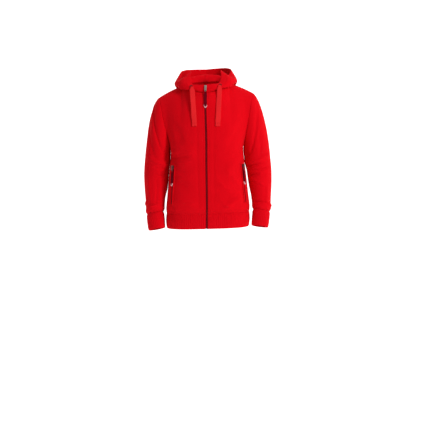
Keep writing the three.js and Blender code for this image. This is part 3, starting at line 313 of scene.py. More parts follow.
def read(rows, at, key, x):
    """One column of a table, read at x along the column that at names."""
    rows = sorted(rows, key=lambda row: row[at])
    xs = np.array([row[at] for row in rows], float)
    ys = np.array([row[key] for row in rows], float)
    return curve_through(xs, ys, x)


def pose(p):
    """Sets the pose in which the hoodie is worn: one shoulder is a little higher."""
    x, y, z = p[..., 0], p[..., 1], p[..., 2]
    slope = 0.026 + 0.024 * smooth(-300, -50, z)
    shift = 1 - 3 * smooth(-456, -230, z) - 4 * smooth(-230, -60, z)
    return xyz(x + shift, y, z + x * slope)


def zip_x(z):
    """The zip leans a little to the right side at the hem."""
    return mix(-3.5, -0.7, (np.asarray(z, float) - HEM_BOTTOM) / (-11 - HEM_BOTTOM))


def ring_point(face, side, s, z):
    """A point on a level ring of the body. s is 0 at the middle and 1 at the side seam."""
    a = np.asarray(s, float) * math.pi / 2
    across = np.clip(np.sin(a), 0, 1)
    deep = np.clip(np.cos(a), 0, 1)
    r = (across ** 3 + deep ** 3) ** (-1 / 3)
    edge = zip_x(z) + side * ZIP_HALF if face == "front" else 0
    x = edge + (side * read(TORSO, "z", "wide", z) - edge) * across * r
    reach = read(TORSO, "z", face, z) * (-1 if face == "front" else 1)
    return xyz(x, reach * deep * r, z)


def neck_point(side, share):
    """A point of the neckline, from the zip (share 0) to the middle of the back (share 1)."""
    edge = (zip_x(-39) + side * ZIP_HALF) * (1 - smooth(0, 0.3, share))
    x = read(NECKLINE, "share", "x", share) * side + edge
    return xyz(x, read(NECKLINE, "share", "y", share), read(NECKLINE, "share", "z", share))


def top_point(face, side, s):
    """The top of a body panel: half of the neckline, then the shoulder seam."""
    t = np.clip(s / NECK_PART, 0, 1)
    neck = neck_point(side, t * SIDE_NECK if face == "front" else 1 - t * (1 - SIDE_NECK))
    t = np.clip((s - NECK_PART) / (1 - NECK_PART), 0, 1)
    a = neck_point(side, SIDE_NECK)
    b = np.array([TIP["x"] * side, TIP["y"], TIP["z"]])
    shoulder = mix(a, b, t[..., None])
    shoulder[..., 2] += 3 * np.sin(math.pi * t)
    return np.where((s <= NECK_PART + 1e-9)[..., None], neck, shoulder)


def armhole_point(face, side, t):
    """A point of the armhole, from the armpit (t = 0) to the shoulder's tip (t = 1)."""
    a = math.pi * t
    z = (ARMPIT + TIP["z"]) / 2 - (TIP["z"] - ARMPIT) / 2 * np.cos(a)
    x = mix(read(TORSO, "z", "wide", ARMPIT), TIP["x"], (z - ARMPIT) / (TIP["z"] - ARMPIT))
    return xyz(side * x, TIP["y"] * t + ARMHOLE[face] * np.sin(a), z)


def high_column(face, side, s, t):
    """The body above the armpit, before its edge is moved onto the armhole."""
    a = ring_point(face, side, s, ARMPIT)
    b = top_point(face, side, s)
    up = np.clip(np.sin(t * math.pi / 2), 0, 1) ** 1.18
    away = np.clip(np.cos(t * math.pi / 2), 0, 1) ** 1.18
    x = mix(a[..., 0], b[..., 0], t * t)
    return xyz(x, b[..., 1] + (a[..., 1] - b[..., 1]) * away, mix(a[..., 2], b[..., 2], up))


def stroke(f, x1, y1, x2, y2, x, y):
    """The height at x, y of one soft fold that runs from x1, y1 to x2, y2."""
    dx, dy = x2 - x1, y2 - y1
    t = ((x - x1) * dx + (y - y1) * dy) / (dx * dx + dy * dy)
    off = ((x - x1) * dy - (y - y1) * dx) / math.hypot(dx, dy)
    off = off * (1 if dx > 0 else -1)
    off = off - f["bow"] * 4 * np.clip(t, 0, 1) * (1 - np.clip(t, 0, 1))
    ends = smooth(-0.15, 0.3, t) * (1 - smooth(0.7, 1.15, t))
    wide = np.where(off < 0, f["wide"], f["low"])
    return f["deep"] * ends * np.exp(-((off / wide) ** 2))


def fold_height(folds, face, x, z):
    total = np.zeros_like(x)
    for f in folds:
        if f["face"] == face:
            total += stroke(f, f["x1"], f["z1"], f["x2"], f["z2"], x, z)
    return total


def wrapped_height(folds, t, around, girth, length, turns=(0,)):
    """Folds laid out on a piece by its place along (t) and round it."""
    total = np.zeros_like(t)
    for f in folds:
        for turn in turns:
            x1, x2 = (f["r1"] + turn) * girth, (f["r2"] + turn) * girth
            y1, y2 = -f["t1"] * length, -f["t2"] * length
            total += stroke(f, x1, y1, x2, y2, around * girth, -t * length)
    return total


def body_point(face, side, s, v):
    """A point of a body panel. v runs 0 to 1 from hem to armpit and on to 2 at the top."""
    t = np.clip(v - 1, 0, 1)
    low = ring_point(face, side, s, mix(HEM_TOP, ARMPIT, np.clip(v, 0, 1)))
    shift = armhole_point(face, side, t) - high_column(face, side, np.ones_like(t), t)
    high = high_column(face, side, s, t) + shift * (s * s)[..., None]
    p = np.where((v <= 1)[..., None], low, high)
    fade = (1 - smooth(0.72, 0.97, s)) * smooth(0, 0.06, v) * (1 - smooth(1.5, 1.85, v))
    if face == "front":
        fade = fade * smooth(0.02, 0.25, s)
    out = unit(xyz(p[..., 0], p[..., 1] * 1.4, 0))
    return p + out * (fade * fold_height(BODY_FOLDS, face, p[..., 0], p[..., 2]))[..., None]


def sleeve_fold(side, t, around):
    total = wrapped_height(SLEEVE_FOLDS[side], t, around, SLEEVE_GIRTH, SLEEVE_LENGTH, (-1, 0, 1))
    inner = np.minimum(around, 1 - around)
    return total * smooth(0.02, 0.1, inner) * smooth(0.02, 0.1, t) * (1 - smooth(0.955, 1, t))


def arm_ring(side, row, around, grow=0):
    a = 2 * math.pi * around
    out = -np.cos(a) * (row["wide"] + grow)
    dy = -np.sin(a) * (row["deep"] + grow)
    x = row["x"] + side * SLEEVE_SIDE + out
    return xyz(side * x, row["y"] + dy, row["z"] + row["out"] * out + row["back"] * dy)


def cap_point(side, t, around):
    """The top of a sleeve, from the armhole (t = 0) to the first ring of the arm."""
    front = around <= 0.5
    share = np.where(front, around * 2, 2 - around * 2)
    front_hole = armhole_point("front", side, share)
    hole = np.where(front[..., None], front_hole, armhole_point("back", side, share))
    first = arm_ring(side, SLEEVE[0], around)
    w = (1 - np.cos(math.pi * share)) / 2
    turn = np.where(front, -24, 20) * np.sin(math.pi * share)
    leave = xyz(side * mix(np.where(front, 12, 18), 95, w), turn, mix(-46, -70, w))
    arrive = xyz(side * mix(4, 25, w), 0, mix(-55, -230, w))
    t = t[..., None]
    t2, t3 = t * t, t * t * t
    p = hole * (2 * t3 - 3 * t2 + 1) + leave * (t3 - 2 * t2 + t)
    return p + first * (3 * t2 - 2 * t3) + arrive * (t3 - t2)


def sleeve_point(side, t, around):
    """A point of a sleeve. t runs 0 to 1 from armhole to cuff seam."""
    z = mix(SLEEVE[0]["z"], SLEEVE[-1]["z"], np.clip((t - CAP_SHARE) / (1 - CAP_SHARE), 0, 1))
    row = {key: read(SLEEVE, "z", key, z) for key in ("x", "wide", "deep", "y", "out", "back")}
    arm = arm_ring(side, {**row, "z": z}, around)
    cap = cap_point(side, np.clip(t / CAP_SHARE, 0, 1), around)
    p = np.where((t <= CAP_SHARE)[..., None], cap, arm)
    a = 2 * math.pi * around
    out = xyz(-np.cos(a) * side, -np.sin(a), 0)
    press = ARM_PRESS[side]
    deep = np.interp(p[..., 2], press["z"], press["deep"])
    p[..., 0] -= side * deep * ((1 + np.cos(a)) / 2) ** 3
    return p + out * sleeve_fold(side, t, around)[..., None]


def hood_column(side, share, w):
    """One section of the hood, from the neck seam over the roll and up to the face edge."""
    stops = [neck_point(side, share)]
    edge = (zip_x(-25) + side * ZIP_HALF) * (1 - smooth(0, 0.3, share))
    for key in HOOD_KEYS:
        spot = []
        for i in range(3):
            rows = [{"share": row["share"], "v": row[key][i]} for row in HOOD]
            spot.append(read(rows, "share", "v", share))
        stops.append(xyz(spot[0] * side + edge, spot[1], spot[2]))
    stops = np.array(stops)
    steps = np.maximum(2, np.linalg.norm(np.diff(stops, axis=0), axis=1)) ** 0.7
    at = np.concatenate([[0], np.cumsum(steps)]) / steps.sum()
    return np.stack([curve_through(at, stops[:, i], w) for i in range(3)], -1)


def hood_share(c):
    """The share of the neckline below a column of the hood."""
    t = 2 * c
    return t * SIDE_NECK if t <= 1 else mix(SIDE_NECK, 1, t - 1)


class Cloth:
    """A piece of cloth as rows of points, with its normals and its own lengths."""

    def __init__(self, name, points, outward, closed=False, posed=False):
        self.name = name
        self.closed = closed
        self.outward = outward
        self.rest = points
        self.points = points if posed else pose(points)
        self.measure()

    def measure(self):
        p = self.points
        across = np.roll(p, -1, 1) - np.roll(p, 1, 1)
        if not self.closed:
            across[:, 0] = p[:, 1] - p[:, 0]
            across[:, -1] = p[:, -1] - p[:, -2]
        along = np.empty_like(p)
        along[1:-1] = p[2:] - p[:-2]
        along[0] = p[1] - p[0]
        along[-1] = p[-1] - p[-2]
        self.normals = unit(np.cross(across, along)) * self.outward
        steps_u = np.linalg.norm(np.diff(p, axis=1), axis=-1)
        steps_v = np.linalg.norm(np.diff(p, axis=0), axis=-1)
        self.u = np.concatenate([np.zeros((len(p), 1)), np.cumsum(steps_u, 1)], 1)
        self.v = np.concatenate([np.zeros((1, p.shape[1])), np.cumsum(steps_v, 0)], 0)

    def lift(self, height):
        """Moves the points along their normals by a height in millimetres."""
        self.points = self.points + self.normals * height[..., None]
        self.measure()

    def reach_under(self, far, wide=6):
        """Draws the first rows on past their edge, so that the seam has no gap."""
        along = unit(self.points[2] - self.points[0])
        self.points = self.points - along * (far * (1 - smooth(0, wide, self.v)))[..., None]
        self.measure()

    def straighten(self):
        """Gives all rows the same lengths, so that the knit runs square to them."""
        self.u = np.broadcast_to(self.u.mean(axis=0), self.u.shape)


def dip(distance, deep=1.1, wide=3.2):
    """How far an edge that is sewn in sinks below the cloth."""
    return -deep * (1 - smooth(0, wide, distance))


def groove(distance, deep=0.55, wide=2.2):
    """The furrow that a row of stitches pulls into the cloth."""
    return -deep * np.exp(-((distance / wide) ** 2))


def seam_distances(cloth):
    """Lengths in from each of the four edges: first column, last column, first row, last row."""
    u_end = cloth.u[:, -1:] - cloth.u
    v_end = cloth.v[-1:] - cloth.v
    return cloth.u, u_end, cloth.v, v_end


def spaced(count):
    """Steps from 0 to 1 that are closer together near both ends."""
    t = np.linspace(0, 1, count + 1)
    return t - 0.5 * np.sin(2 * math.pi * t) / (2 * math.pi)


def make_panel(face, side):
    """A front panel or the whole back, with its folds, sunk edges and stitched furrows."""
    rows = 2 * spaced(PANEL_ROWS)
    if face == "front":
        v, s = np.meshgrid(rows, spaced(HALF_COLUMNS), indexing="ij")
        cloth = Cloth(sided("front", side), body_point(face, side, s, v), side)
    else:
        v, s = np.meshgrid(rows, 2 * spaced(2 * HALF_COLUMNS) - 1, indexing="ij")
        left = body_point(face, 1, np.abs(s), v)
        right = body_point(face, -1, np.abs(s), v)
        cloth = Cloth("back", np.where((s < 0)[..., None], right, left), -1)
    fine = fold_height(FINE_FOLDS, face, cloth.rest[..., 0], cloth.rest[..., 2])
    fade = 1 - smooth(0.86, 0.99, np.abs(s))
    first, last, low, high = seam_distances(cloth)
    height = fine * fade + dip(last) + dip(low) + dip(high, 0.7)
    height += groove(low - HEM_STITCH[0]) + groove(low - HEM_STITCH[1])
    height += groove(high - SHOULDER_STITCH, 0.4)
    if face == "back":
        height += dip(first)
    else:
        height += 0.5 * dip(first, wide=2) + groove(first - ZIP_STITCH, 0.5, 1.6)
    cloth.lift(height)
    return cloth


def make_sleeve(side):
    """A sleeve, gathered a little where the cuff takes it in."""
    t, around = np.meshgrid(spaced(SLEEVE_ROWS), np.arange(RING) / RING, indexing="ij")
    cloth = Cloth(sided("sleeve", side), sleeve_point(side, t, around), -side, True)
    _, _, low, high = seam_distances(cloth)
    waves = 0.35 * np.sin(around * 2 * math.pi * 17 + 3 * np.sin(around * 11))
    gathers = waves * (1 - smooth(2, 16, high))
    furrows = groove(high - HEM_STITCH[0]) + groove(high - HEM_STITCH[1])
    cloth.lift(dip(low) + dip(high) + furrows + gathers)
    return cloth


def make_hood(side):
    """One half of the hood, up to the turned tunnel of its face edge."""
    w = spaced(HOOD_ROWS)
    steps = spaced(HOOD_COLUMNS)
    columns = [hood_column(side, hood_share(c), w) for c in steps]
    cloth = Cloth(sided("hood", side), np.stack(columns, 1), side)
    t, c = np.meshgrid(w, steps, indexing="ij")
    soft = wrapped_height(HOOD_FOLDS[side], t, c, HOOD_GIRTH, HOOD_HEIGHT)
    soft = soft * smooth(0, 0.12, t) * (1 - smooth(0.84, 0.97, t)) * smooth(0, 0.14, c)
    _, last, low, high = seam_distances(cloth)
    edge = groove(high - TUNNEL, 0.8, 2.4) * smooth(0.08, 0.2, c)
    cloth.lift(soft + dip(last) + dip(low, 0.7, 3) + edge + groove(last - SEAM_STITCH, 0.4))
    cloth.reach_under(1.6)
    return cloth


def resample(row, count):
    """The same line with evenly spaced points."""
    steps = line_lengths(row)
    at = np.linspace(0, steps[-1], count)
    return np.stack([np.interp(at, steps, row[:, i]) for i in range(3)], 1)


def rib_shape(share, ribs):
    """Rounded ribs with narrow valleys, 0 to 1 high."""
    wave = 0.5 + 0.5 * np.cos(2 * math.pi * ribs * share)
    return wave ** 0.7


def make_band(panels):
    """The rib hem band follows the lowest row of the three panels."""
    front_left, front_right, back = (cloth.rest[0] for cloth in panels)
    row = np.concatenate([front_left[:-1], back[:0:-1], front_right[::-1]])
    row = resample(row, HEM_RIBS * RIB_STEPS + 1)
    along = np.gradient(row, axis=0)
    normals = unit(np.stack([along[:, 1], -along[:, 0], np.zeros(len(row))], 1))
    middle = row.mean(axis=0)
    if ((row - middle) * normals).sum() < 0:
        normals = -normals
    share = np.linspace(0, 1, len(row))
    edge = smooth(0, 0.006, share) * smooth(0, 0.006, 1 - share)
    rows = []
    for t in np.linspace(0, 1, BAND_ROWS + 1):
        z = mix(HEM_BOTTOM, HEM_TOP + 0.6, t)
        swell = curve_through(np.array([0, 0.5, 1.0]), np.array([-1.5, 0.6, -1.2]), t)
        ease = 0.25 + 0.75 * smooth(0, 0.12, t) * (1 - smooth(0.86, 1, t))
        lean = 0.35 * np.sin(share * 31 + t * 2.4) + 0.2 * np.sin(share * 83)
        ribs = RIB * ease * edge * rib_shape(share + lean / 2400, HEM_RIBS)
        rise = swell + ribs + 0.25 * lean * ease * edge
        p = row + normals * rise[:, None]
        p[:, 0] += zip_x(z) - zip_x(HEM_TOP)
        p[:, 2] = z
        rows.append(p)
    cloth = Cloth("hem_band", np.stack(rows), 1)
    cloth.straighten()
    return cloth


def make_cuff(side):
    """A rib cuff, with its top tucked into the sleeve's end."""
    steps = CUFF_RIBS * RIB_STEPS
    t, around = np.meshgrid(np.linspace(0, 1, BAND_ROWS + 1), np.arange(steps) / steps, indexing="ij")
    z = mix(CUFF[0]["z"], CUFF[-1]["z"], t)
    row = {key: read(CUFF, "z", key, z) for key in ("x", "wide", "deep", "y")}
    ease = 0.25 + 0.75 * smooth(0, 0.14, t) * (1 - smooth(0.88, 1, t))
    tuck = 1.8 * (1 - smooth(0, 0.1, t))
    grow = RIB * ease * rib_shape(around + 0.003 * np.sin(around * 19 + 2 * t), CUFF_RIBS) - tuck
    points = arm_ring(side, {**row, "z": z, "out": -0.16, "back": -0.2}, around, grow)
    points[..., 2] += 0.6 * (1 - t)
    cloth = Cloth(sided("cuff", side), points, side, True)
    cloth.straighten()
    return cloth


class Builder:
    """Collects points and faces, each point with its place on the cut cloth."""

    def __init__(self):
        self.points = []
        self.faces = []
        self.cut = []
        self.inside = []

    def add(self, points, cut):
        self.points.append(np.asarray(points, float).reshape(-1, 3))
        self.cut.append(np.asarray(cut, float).reshape(-1, 2))

    def face(self, corners, inside=0):
        self.faces.append(corners)
        self.inside.append(inside)

    def object(self, name):
        points = np.concatenate(self.points) / 1000
        cut = np.concatenate(self.cut) / 1000
        mesh = bpy.data.meshes.new(name)
        mesh.from_pydata(points.tolist(), [], self.faces)
        layer = mesh.uv_layers.new(name="cut")
        corners = np.empty(len(mesh.loops), int)
        mesh.loops.foreach_get("vertex_index", corners)
        layer.data.foreach_set("uv", cut[corners].ravel())
        mesh.polygons.foreach_set("use_smooth", [True] * len(mesh.polygons))
        mesh.polygons.foreach_set("material_index", self.inside)
        mesh.update()
        turn_out(mesh)
        return new_object(name, mesh)


def turn_out(mesh):
    """Turns the faces of a closed mesh outwards."""
    work = bmesh.new()
    work.from_mesh(mesh)
    if work.calc_volume(signed=True) < 0:
        bmesh.ops.reverse_faces(work, faces=work.faces)
    work.to_mesh(mesh)
    work.free()


def lip(p, inner, toward, n):
    """Three rows round an edge, from the outer face to the inner one."""
    out = unit(p - toward)
    half = np.linalg.norm(p - inner, axis=1, keepdims=True) / 2
    for a in (math.pi / 4, math.pi / 2, 3 * math.pi / 4):
        yield (p + inner) / 2 + n * half * math.cos(a) + out * half * math.sin(a)


def close_edge(build, c, columns, flip, rows, first_inner, rounds):
    """Closes one open side of a wall, at column c."""
    def add(face):
        build.face(tuple(face[::-1] if flip else face))
    for r in range(rows - 1):
        e = first_inner + rows - 1 - r
        add([r * columns + c, (r + 1) * columns + c, (e - 1) * columns + c, e * columns + c])
    round_first, round_last = rounds
    if round_last:
        add([(rows - 1 + e) * columns + c for e in range(5)])
    if round_first:
        add([(first_inner + rows - 1 + e) * columns + c for e in range(4)] + [c])


def wall(cloth, thickness, round_first=False, round_last=False, two_sided=False):
    """A closed mesh from a cloth: outer and inner points with the edges between them."""
    build = Builder()
    p, n = cloth.points, cloth.normals
    inner = p - n * (np.ones(p.shape[:2]) * thickness)[..., None]
    rows, columns = p.shape[:2]
    cut = np.stack([cloth.u, cloth.v], -1)
    loop, cuts = list(p), list(cut)
    if round_last:
        loop += list(lip(p[-1], inner[-1], p[-2], n[-1]))
        cuts += [cut[-1]] * 3
    first_inner = len(loop)
    loop += list(inner[::-1])
    cuts += list(cut[::-1])
    if round_first:
        loop += list(lip(p[0], inner[0], p[1], n[0]))[::-1]
        cuts += [cut[0]] * 3
    for line, places in zip(loop, cuts):
        build.add(line, places)
    for i in range(len(loop)):
        j = (i + 1) % len(loop)
        inside = int(two_sided and first_inner <= i < first_inner + rows - 1)
        for c in range(columns if cloth.closed else columns - 1):
            d = (c + 1) % columns
            build.face((i * columns + c, i * columns + d, j * columns + d, j * columns + c), inside)
    if not cloth.closed:
        for c, flip in ((0, False), (columns - 1, True)):
            close_edge(build, c, columns, flip, rows, first_inner, (round_first, round_last))
    return build.object(cloth.name + "_cloth")


def on_cloth(cloth, r, c):
    """The point and normal at a real row and column."""
    i = int(np.clip(math.floor(r), 0, cloth.points.shape[0] - 2))
    j = int(np.clip(math.floor(c), 0, cloth.points.shape[1] - 2))
    a, b = r - i, c - j
    out = []
    for field in (cloth.points, cloth.normals):
        low = mix(field[i, j], field[i, j + 1], b)
        high = mix(field[i + 1, j], field[i + 1, j + 1], b)
        out.append(mix(low, high, a))
    return out[0], unit(out[1])


class Sock:
    """A shader socket that takes part in plain arithmetic."""

    def __init__(self, paint, socket):
        self.paint = paint
        self.socket = socket

    def _math(self, operation, *values):
        node = self.paint.node("ShaderNodeMath", {"operation": operation}, dict(enumerate(values)))
        return Sock(self.paint, node.outputs[0])

    def __add__(self, other):
        return self._math("ADD", self, other)

    def __mul__(self, other):
        return self._math("MULTIPLY", self, other)

    def __truediv__(self, other):
        return self._math("DIVIDE", self, other)

    def sin(self):
        return self._math("SINE", self)

    def clamped(self):
        node = self.paint.node("ShaderNodeClamp", {}, {"Value": self})
        return Sock(self.paint, node.outputs[0])


class Paint:
    """A material and the few calls that its node tree is written with."""

    def __init__(self, name):
        self.material = bpy.data.materials.new(name)
        self.material.use_nodes = True
        self.tree = self.material.node_tree
        self.shader = self.tree.nodes["Principled BSDF"]

    def node(self, kind, settings=None, inputs=None):
        node = self.tree.nodes.new(kind)
        for key, value in (settings or {}).items():
            setattr(node, key, value)
        for key, value in (inputs or {}).items():
            self.put(node.inputs[key], value)
        return node

    def put(self, socket, value):
        if isinstance(value, Sock):
            value = value.socket
        if isinstance(value, bpy.types.NodeSocket):
            self.tree.links.new(value, socket)
        else:
            socket.default_value = value

    def look(self, values):
        """Sets or links inputs of the shader by their names."""
        for key, value in values.items():
            self.put(self.shader.inputs[key], value)

    def place(self, layer=None):
        """The x, y and z of object space, or of the cut cloth's own map, in millimetres."""
        if layer:
            node = self.node("ShaderNodeUVMap", {"uv_map": layer})
        else:
            node = self.node("ShaderNodeTexCoord")
        source = node.outputs["UV"] if layer else node.outputs["Object"]
        split = self.node("ShaderNodeSeparateXYZ", {}, {0: source})
        return [Sock(self, output) * 1000 for output in split.outputs]

    def noise(self, size, detail=2.0, rough=0.5):
        """Soft noise with features of about the given size in millimetres."""
        coord = self.node("ShaderNodeTexCoord").outputs["Object"]
        inputs = {"Vector": coord, "Scale": (1000 / size,) * 3}
        scaled = self.node("ShaderNodeMapping", {}, inputs)
        inputs = {"Vector": scaled.outputs[0], "Scale": 1.0, "Detail": detail, "Roughness": rough}
        return Sock(self, self.node("ShaderNodeTexNoise", {}, inputs).outputs["Fac"])

    def blend(self, factor, a, b):
        """Mixes two colours."""
        node = self.node("ShaderNodeMix", {"data_type": "RGBA"})
        self.put(node.inputs["Factor"], factor)
        self.put(node.inputs[6], a)
        self.put(node.inputs[7], b)
        return node.outputs[2]

    def relief(self, height, deep):
        """A bump of the given depth in millimetres."""
        inputs = {"Height": height, "Distance": deep / 1000, "Strength": 1.0}
        self.look({"Normal": self.node("ShaderNodeBump", {}, inputs).outputs[0]})


def linear(r, g, b):
    """A display colour, 0 to 255 for each channel, as shader values."""
    def one(v):
        v /= 255
        return v / 12.92 if v <= 0.04045 else ((v + 0.055) / 1.055) ** 2.4
    return (one(r), one(g), one(b), 1.0)


# The faint sheen of brushed cotton.
NAP = {
    "Sheen Weight": 0.04,
    "Sheen Roughness": 0.5,
    "Sheen Tint": (1.0, 0.2, 0.22, 1.0),
    "Specular IOR Level": 0.04,
}


def fabric(name, colour, shade, wale=1.3, course=1.0, deep=0.16, layer="cut"):
    """Knitted cloth: rows of small loops on the cut's own map, under a soft nap."""
    paint = Paint(name)
    u, v, _ = paint.place(layer)
    loop = (v * (2 * math.pi / course)).sin()
    rib = ((u / wale + loop * 0.18) * (2 * math.pi)).sin()
    fuzz = paint.noise(0.9, 3.0, 0.7)
    cloud = paint.noise(38)
    heather = paint.noise(2.2, 2.0, 0.6)
    tone = (cloud * 0.6 + heather * 0.35 + rib * 0.05).clamped()
    paint.look({"Base Color": paint.blend(tone, shade, colour), "Roughness": fuzz * 0.1 + 0.86, **NAP})
    paint.relief(rib * 0.32 + loop * 0.18 + fuzz * 1.1, deep)
    return paint.material


def plain(name, colour, shade, rough, metallic=0.0, grain=0.8, deep=0.03, shine=0.5):
    """A moulded or metal finish with faint handling marks."""
    paint = Paint(name)
    marks = paint.noise(grain, 3.0, 0.6)
    broad = paint.noise(grain * 9)
    paint.look({
        "Base Color": paint.blend(broad, shade, colour),
        "Roughness": (marks * 0.14 + broad * 0.1 + (rough - 0.12)).clamped(),
        "Metallic": metallic,
        "Specular IOR Level": shine,
    })
    paint.relief(marks, deep)
    return paint.material


FLEECE = fabric("brushed_fleece", linear(233, 6, 24), linear(219, 3, 17))
FLEECE_INSIDE = fabric("fleece_inside", linear(216, 5, 20), linear(200, 3, 14), 1.8, 1.4, 0.3)
RIB_KNIT = fabric("rib_knit", linear(230, 6, 24), linear(212, 3, 16), 1.6, 1.1, 0.14)
TAPE = fabric("zip_tape_weave", linear(176, 8, 24), linear(146, 4, 16), 1.0, 0.6, 0.1)
LACE = fabric("flat_lace", linear(246, 44, 48), linear(236, 30, 36), 1.7, 1.5, 0.3)
THREAD = plain("sewing_thread", linear(220, 12, 28), linear(196, 6, 20), 0.8, grain=0.5, shine=0.1)
TEETH = plain("zip_teeth", linear(140, 8, 22), linear(112, 4, 15), 0.55, grain=0.6, shine=0.12)
NICKEL = plain("brushed_nickel", linear(214, 206, 198), linear(176, 166, 158), 0.3, 1.0, 0.5, 0.01)
GUNMETAL = plain("gunmetal", linear(134, 122, 118), linear(96, 84, 82), 0.34, 1.0, 0.5, 0.01)
EYELET = plain("lacquered_eyelet", linear(120, 16, 22), linear(82, 8, 12), 0.4, 0.6, 0.5, 0.01)
PULL_CORD = fabric("pull_cord", linear(118, 10, 27), linear(88, 5, 17), 0.8, 0.8, 0.2, None)
PULL_TIP = plain("pull_tip", linear(244, 178, 182), linear(230, 152, 158), 0.5, grain=0.7)


def dress(piece, material, body="garment", replaces=(), slot="cloth"):
    """Gives a piece its material, its body and the solids that it stands for."""
    piece.data.materials.clear()
    piece.data.materials.append(material)
    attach(piece, body)
    if replaces:
        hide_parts(*replaces)
    return piece


def rounded(name, mesh, width):
    """A new piece from a mesh that is in its place, with its sharp edges rounded."""
    rough = new_object(name, mesh)
    bevel = rough.modifiers.new("edges", "BEVEL")
    bevel.width = width / 1000
    bevel.segments = 2
    bevel.angle_limit = math.radians(28)
    bpy.context.view_layer.update()
    made = bpy.data.meshes.new_from_object(rough.evaluated_get(bpy.context.evaluated_depsgraph_get()))
    bpy.data.objects.remove(rough)
    made.name = name
    made.polygons.foreach_set("use_smooth", [True] * len(made.polygons))
    made.set_sharp_from_angle(angle=math.radians(40))
    return new_object(name, made)


def soften(name, material, width, body="garment", slot="metal"):
    """A hard piece from its solid, with its edges rounded and its finish on."""
    mesh = NODES[name].data.copy()
    mesh.transform(NODES[name].matrix_world)
    return dress(rounded(name + "_finished", mesh, width), material, body, [name], slot)


# Each pull hangs from its pin: the pin, the pull's own x and z axes, its size and its length.
PULLS = table(
    "name body pin x z size long",
    (
        "pull_main", "pull_main", (-6.745, -84.418, -19.037),
        (1, 0, -0.001), (0.001, 0.185, 0.983), 1, 73,
    ),
    (
        "pull_left", "pull_pocket_left", (125.829, -77.313, -287.877),
        (0.51734, 0.85328, 0.06542), (-0.075, -0.031, 0.997), 0.9, 67,
    ),
    (
        "pull_right", "pull_pocket_right", (-122.768, -82.467, -293.979),
        (0.59919, -0.80053, -0.01064), (0.039, 0.016, 0.999), 0.9, 67,
    ),
)
# The strap's pointed end, across and up from the tip's low end.
TONGUE = [(-4.2, 11.2), (-4.0, 7.6), (-2.0, 5.2), (0, 4.2), (2.0, 5.2), (4.0, 7.6), (4.2, 11.2)]
TONGUE_DEPTHS = (-1.35, -0.8)


def make_tongue(pull):
    """The pointed end of a pull's strap, set into the front of its moulded tip."""
    x, z = unit(np.array(pull["x"], float)), unit(np.array(pull["z"], float))
    y = np.cross(z, x)
    low, half = -pull["long"], pull["size"]
    points = []
    for deep in TONGUE_DEPTHS:
        points += [np.array(pull["pin"]) + x * a * half + y * deep + z * (low + b) for a, b in TONGUE]
    n = len(TONGUE)
    faces = [tuple(range(n)), tuple(range(2 * n - 1, n - 1, -1))]
    faces += [((k + 1) % n, k, k + n, (k + 1) % n + n) for k in range(n)]
    mesh = bpy.data.meshes.new(pull["name"] + "_tongue")
    mesh.from_pydata([tuple(p / 1000) for p in points], [], faces)
    turn_out(mesh)
    piece = rounded(pull["name"] + "_tongue", mesh, 0.18)
    dress(piece, PULL_CORD, pull["body"], slot="pull_cord")


# Stitches and zip teeth are laid along lines by a geometry nodes tree.

def node_in(tree, kind, inputs=None, settings=None):
    made = tree.nodes.new(kind)
    for key, value in (settings or {}).items():
        setattr(made, key, value)
    for key, value in (inputs or {}).items():
        if isinstance(value, bpy.types.NodeSocket):
            tree.links.new(value, made.inputs[key])
        else:
            made.inputs[key].default_value = value
    return made


def thread_bead(tree):
    return node_in(tree, "GeometryNodeMeshIcoSphere", {"Radius": 1.0, "Subdivisions": 1}).outputs[0]


def tooth_block(tree):
    cube = node_in(tree, "GeometryNodeMeshCube", {"Size": (2.0, 2.0, 2.0)})
    inputs = {"Mesh": cube.outputs[0], "Level": 2, "Edge Crease": 0.55}
    return node_in(tree, "GeometryNodeSubdivisionSurface", inputs).outputs[0]


def row_tree(name, material, item):
    """One item to each step of the lines, turned along them and away from the cloth."""
    tree = bpy.data.node_groups.new(name + "_tree", "GeometryNodeTree")
    tree.interface.new_socket("Geometry", in_out="INPUT", socket_type="NodeSocketGeometry")
    tree.interface.new_socket("Pitch", in_out="INPUT", socket_type="NodeSocketFloat")
    tree.interface.new_socket("Size", in_out="INPUT", socket_type="NodeSocketVector")
    tree.interface.new_socket("Geometry", in_out="OUTPUT", socket_type="NodeSocketGeometry")
    source = node_in(tree, "NodeGroupInput")
    curve = node_in(tree, "GeometryNodeMeshToCurve", {"Mesh": source.outputs["Geometry"]})
    inputs = {"Curve": curve.outputs[0], "Length": source.outputs["Pitch"]}
    even = node_in(tree, "GeometryNodeResampleCurve", inputs, {"mode": "LENGTH"})
    tangent = node_in(tree, "GeometryNodeInputTangent")
    turn = node_in(tree, "FunctionNodeAlignRotationToVector", {"Vector": tangent.outputs[0]}, {"axis": "X"})
    away = node_in(tree, "GeometryNodeInputNamedAttribute", {"Name": "away"}, {"data_type": "FLOAT_VECTOR"})
    inputs = {"Rotation": turn.outputs[0], "Vector": away.outputs[0]}
    roll = node_in(tree, "FunctionNodeAlignRotationToVector", inputs, {"axis": "Z", "pivot_axis": "X"})
    laid = node_in(tree, "GeometryNodeInstanceOnPoints", {
        "Points": even.outputs[0], "Instance": item(tree),
        "Rotation": roll.outputs[0], "Scale": source.outputs["Size"]})
    real = node_in(tree, "GeometryNodeRealizeInstances", {0: laid.outputs[0]})
    shaded = node_in(tree, "GeometryNodeSetShadeSmooth", {0: real.outputs[0]})
    finish = node_in(tree, "GeometryNodeSetMaterial", {"Geometry": shaded.outputs[0], "Material": material})
    sink = node_in(tree, "NodeGroupOutput")
    tree.links.new(finish.outputs[0], sink.inputs[0])
    return tree


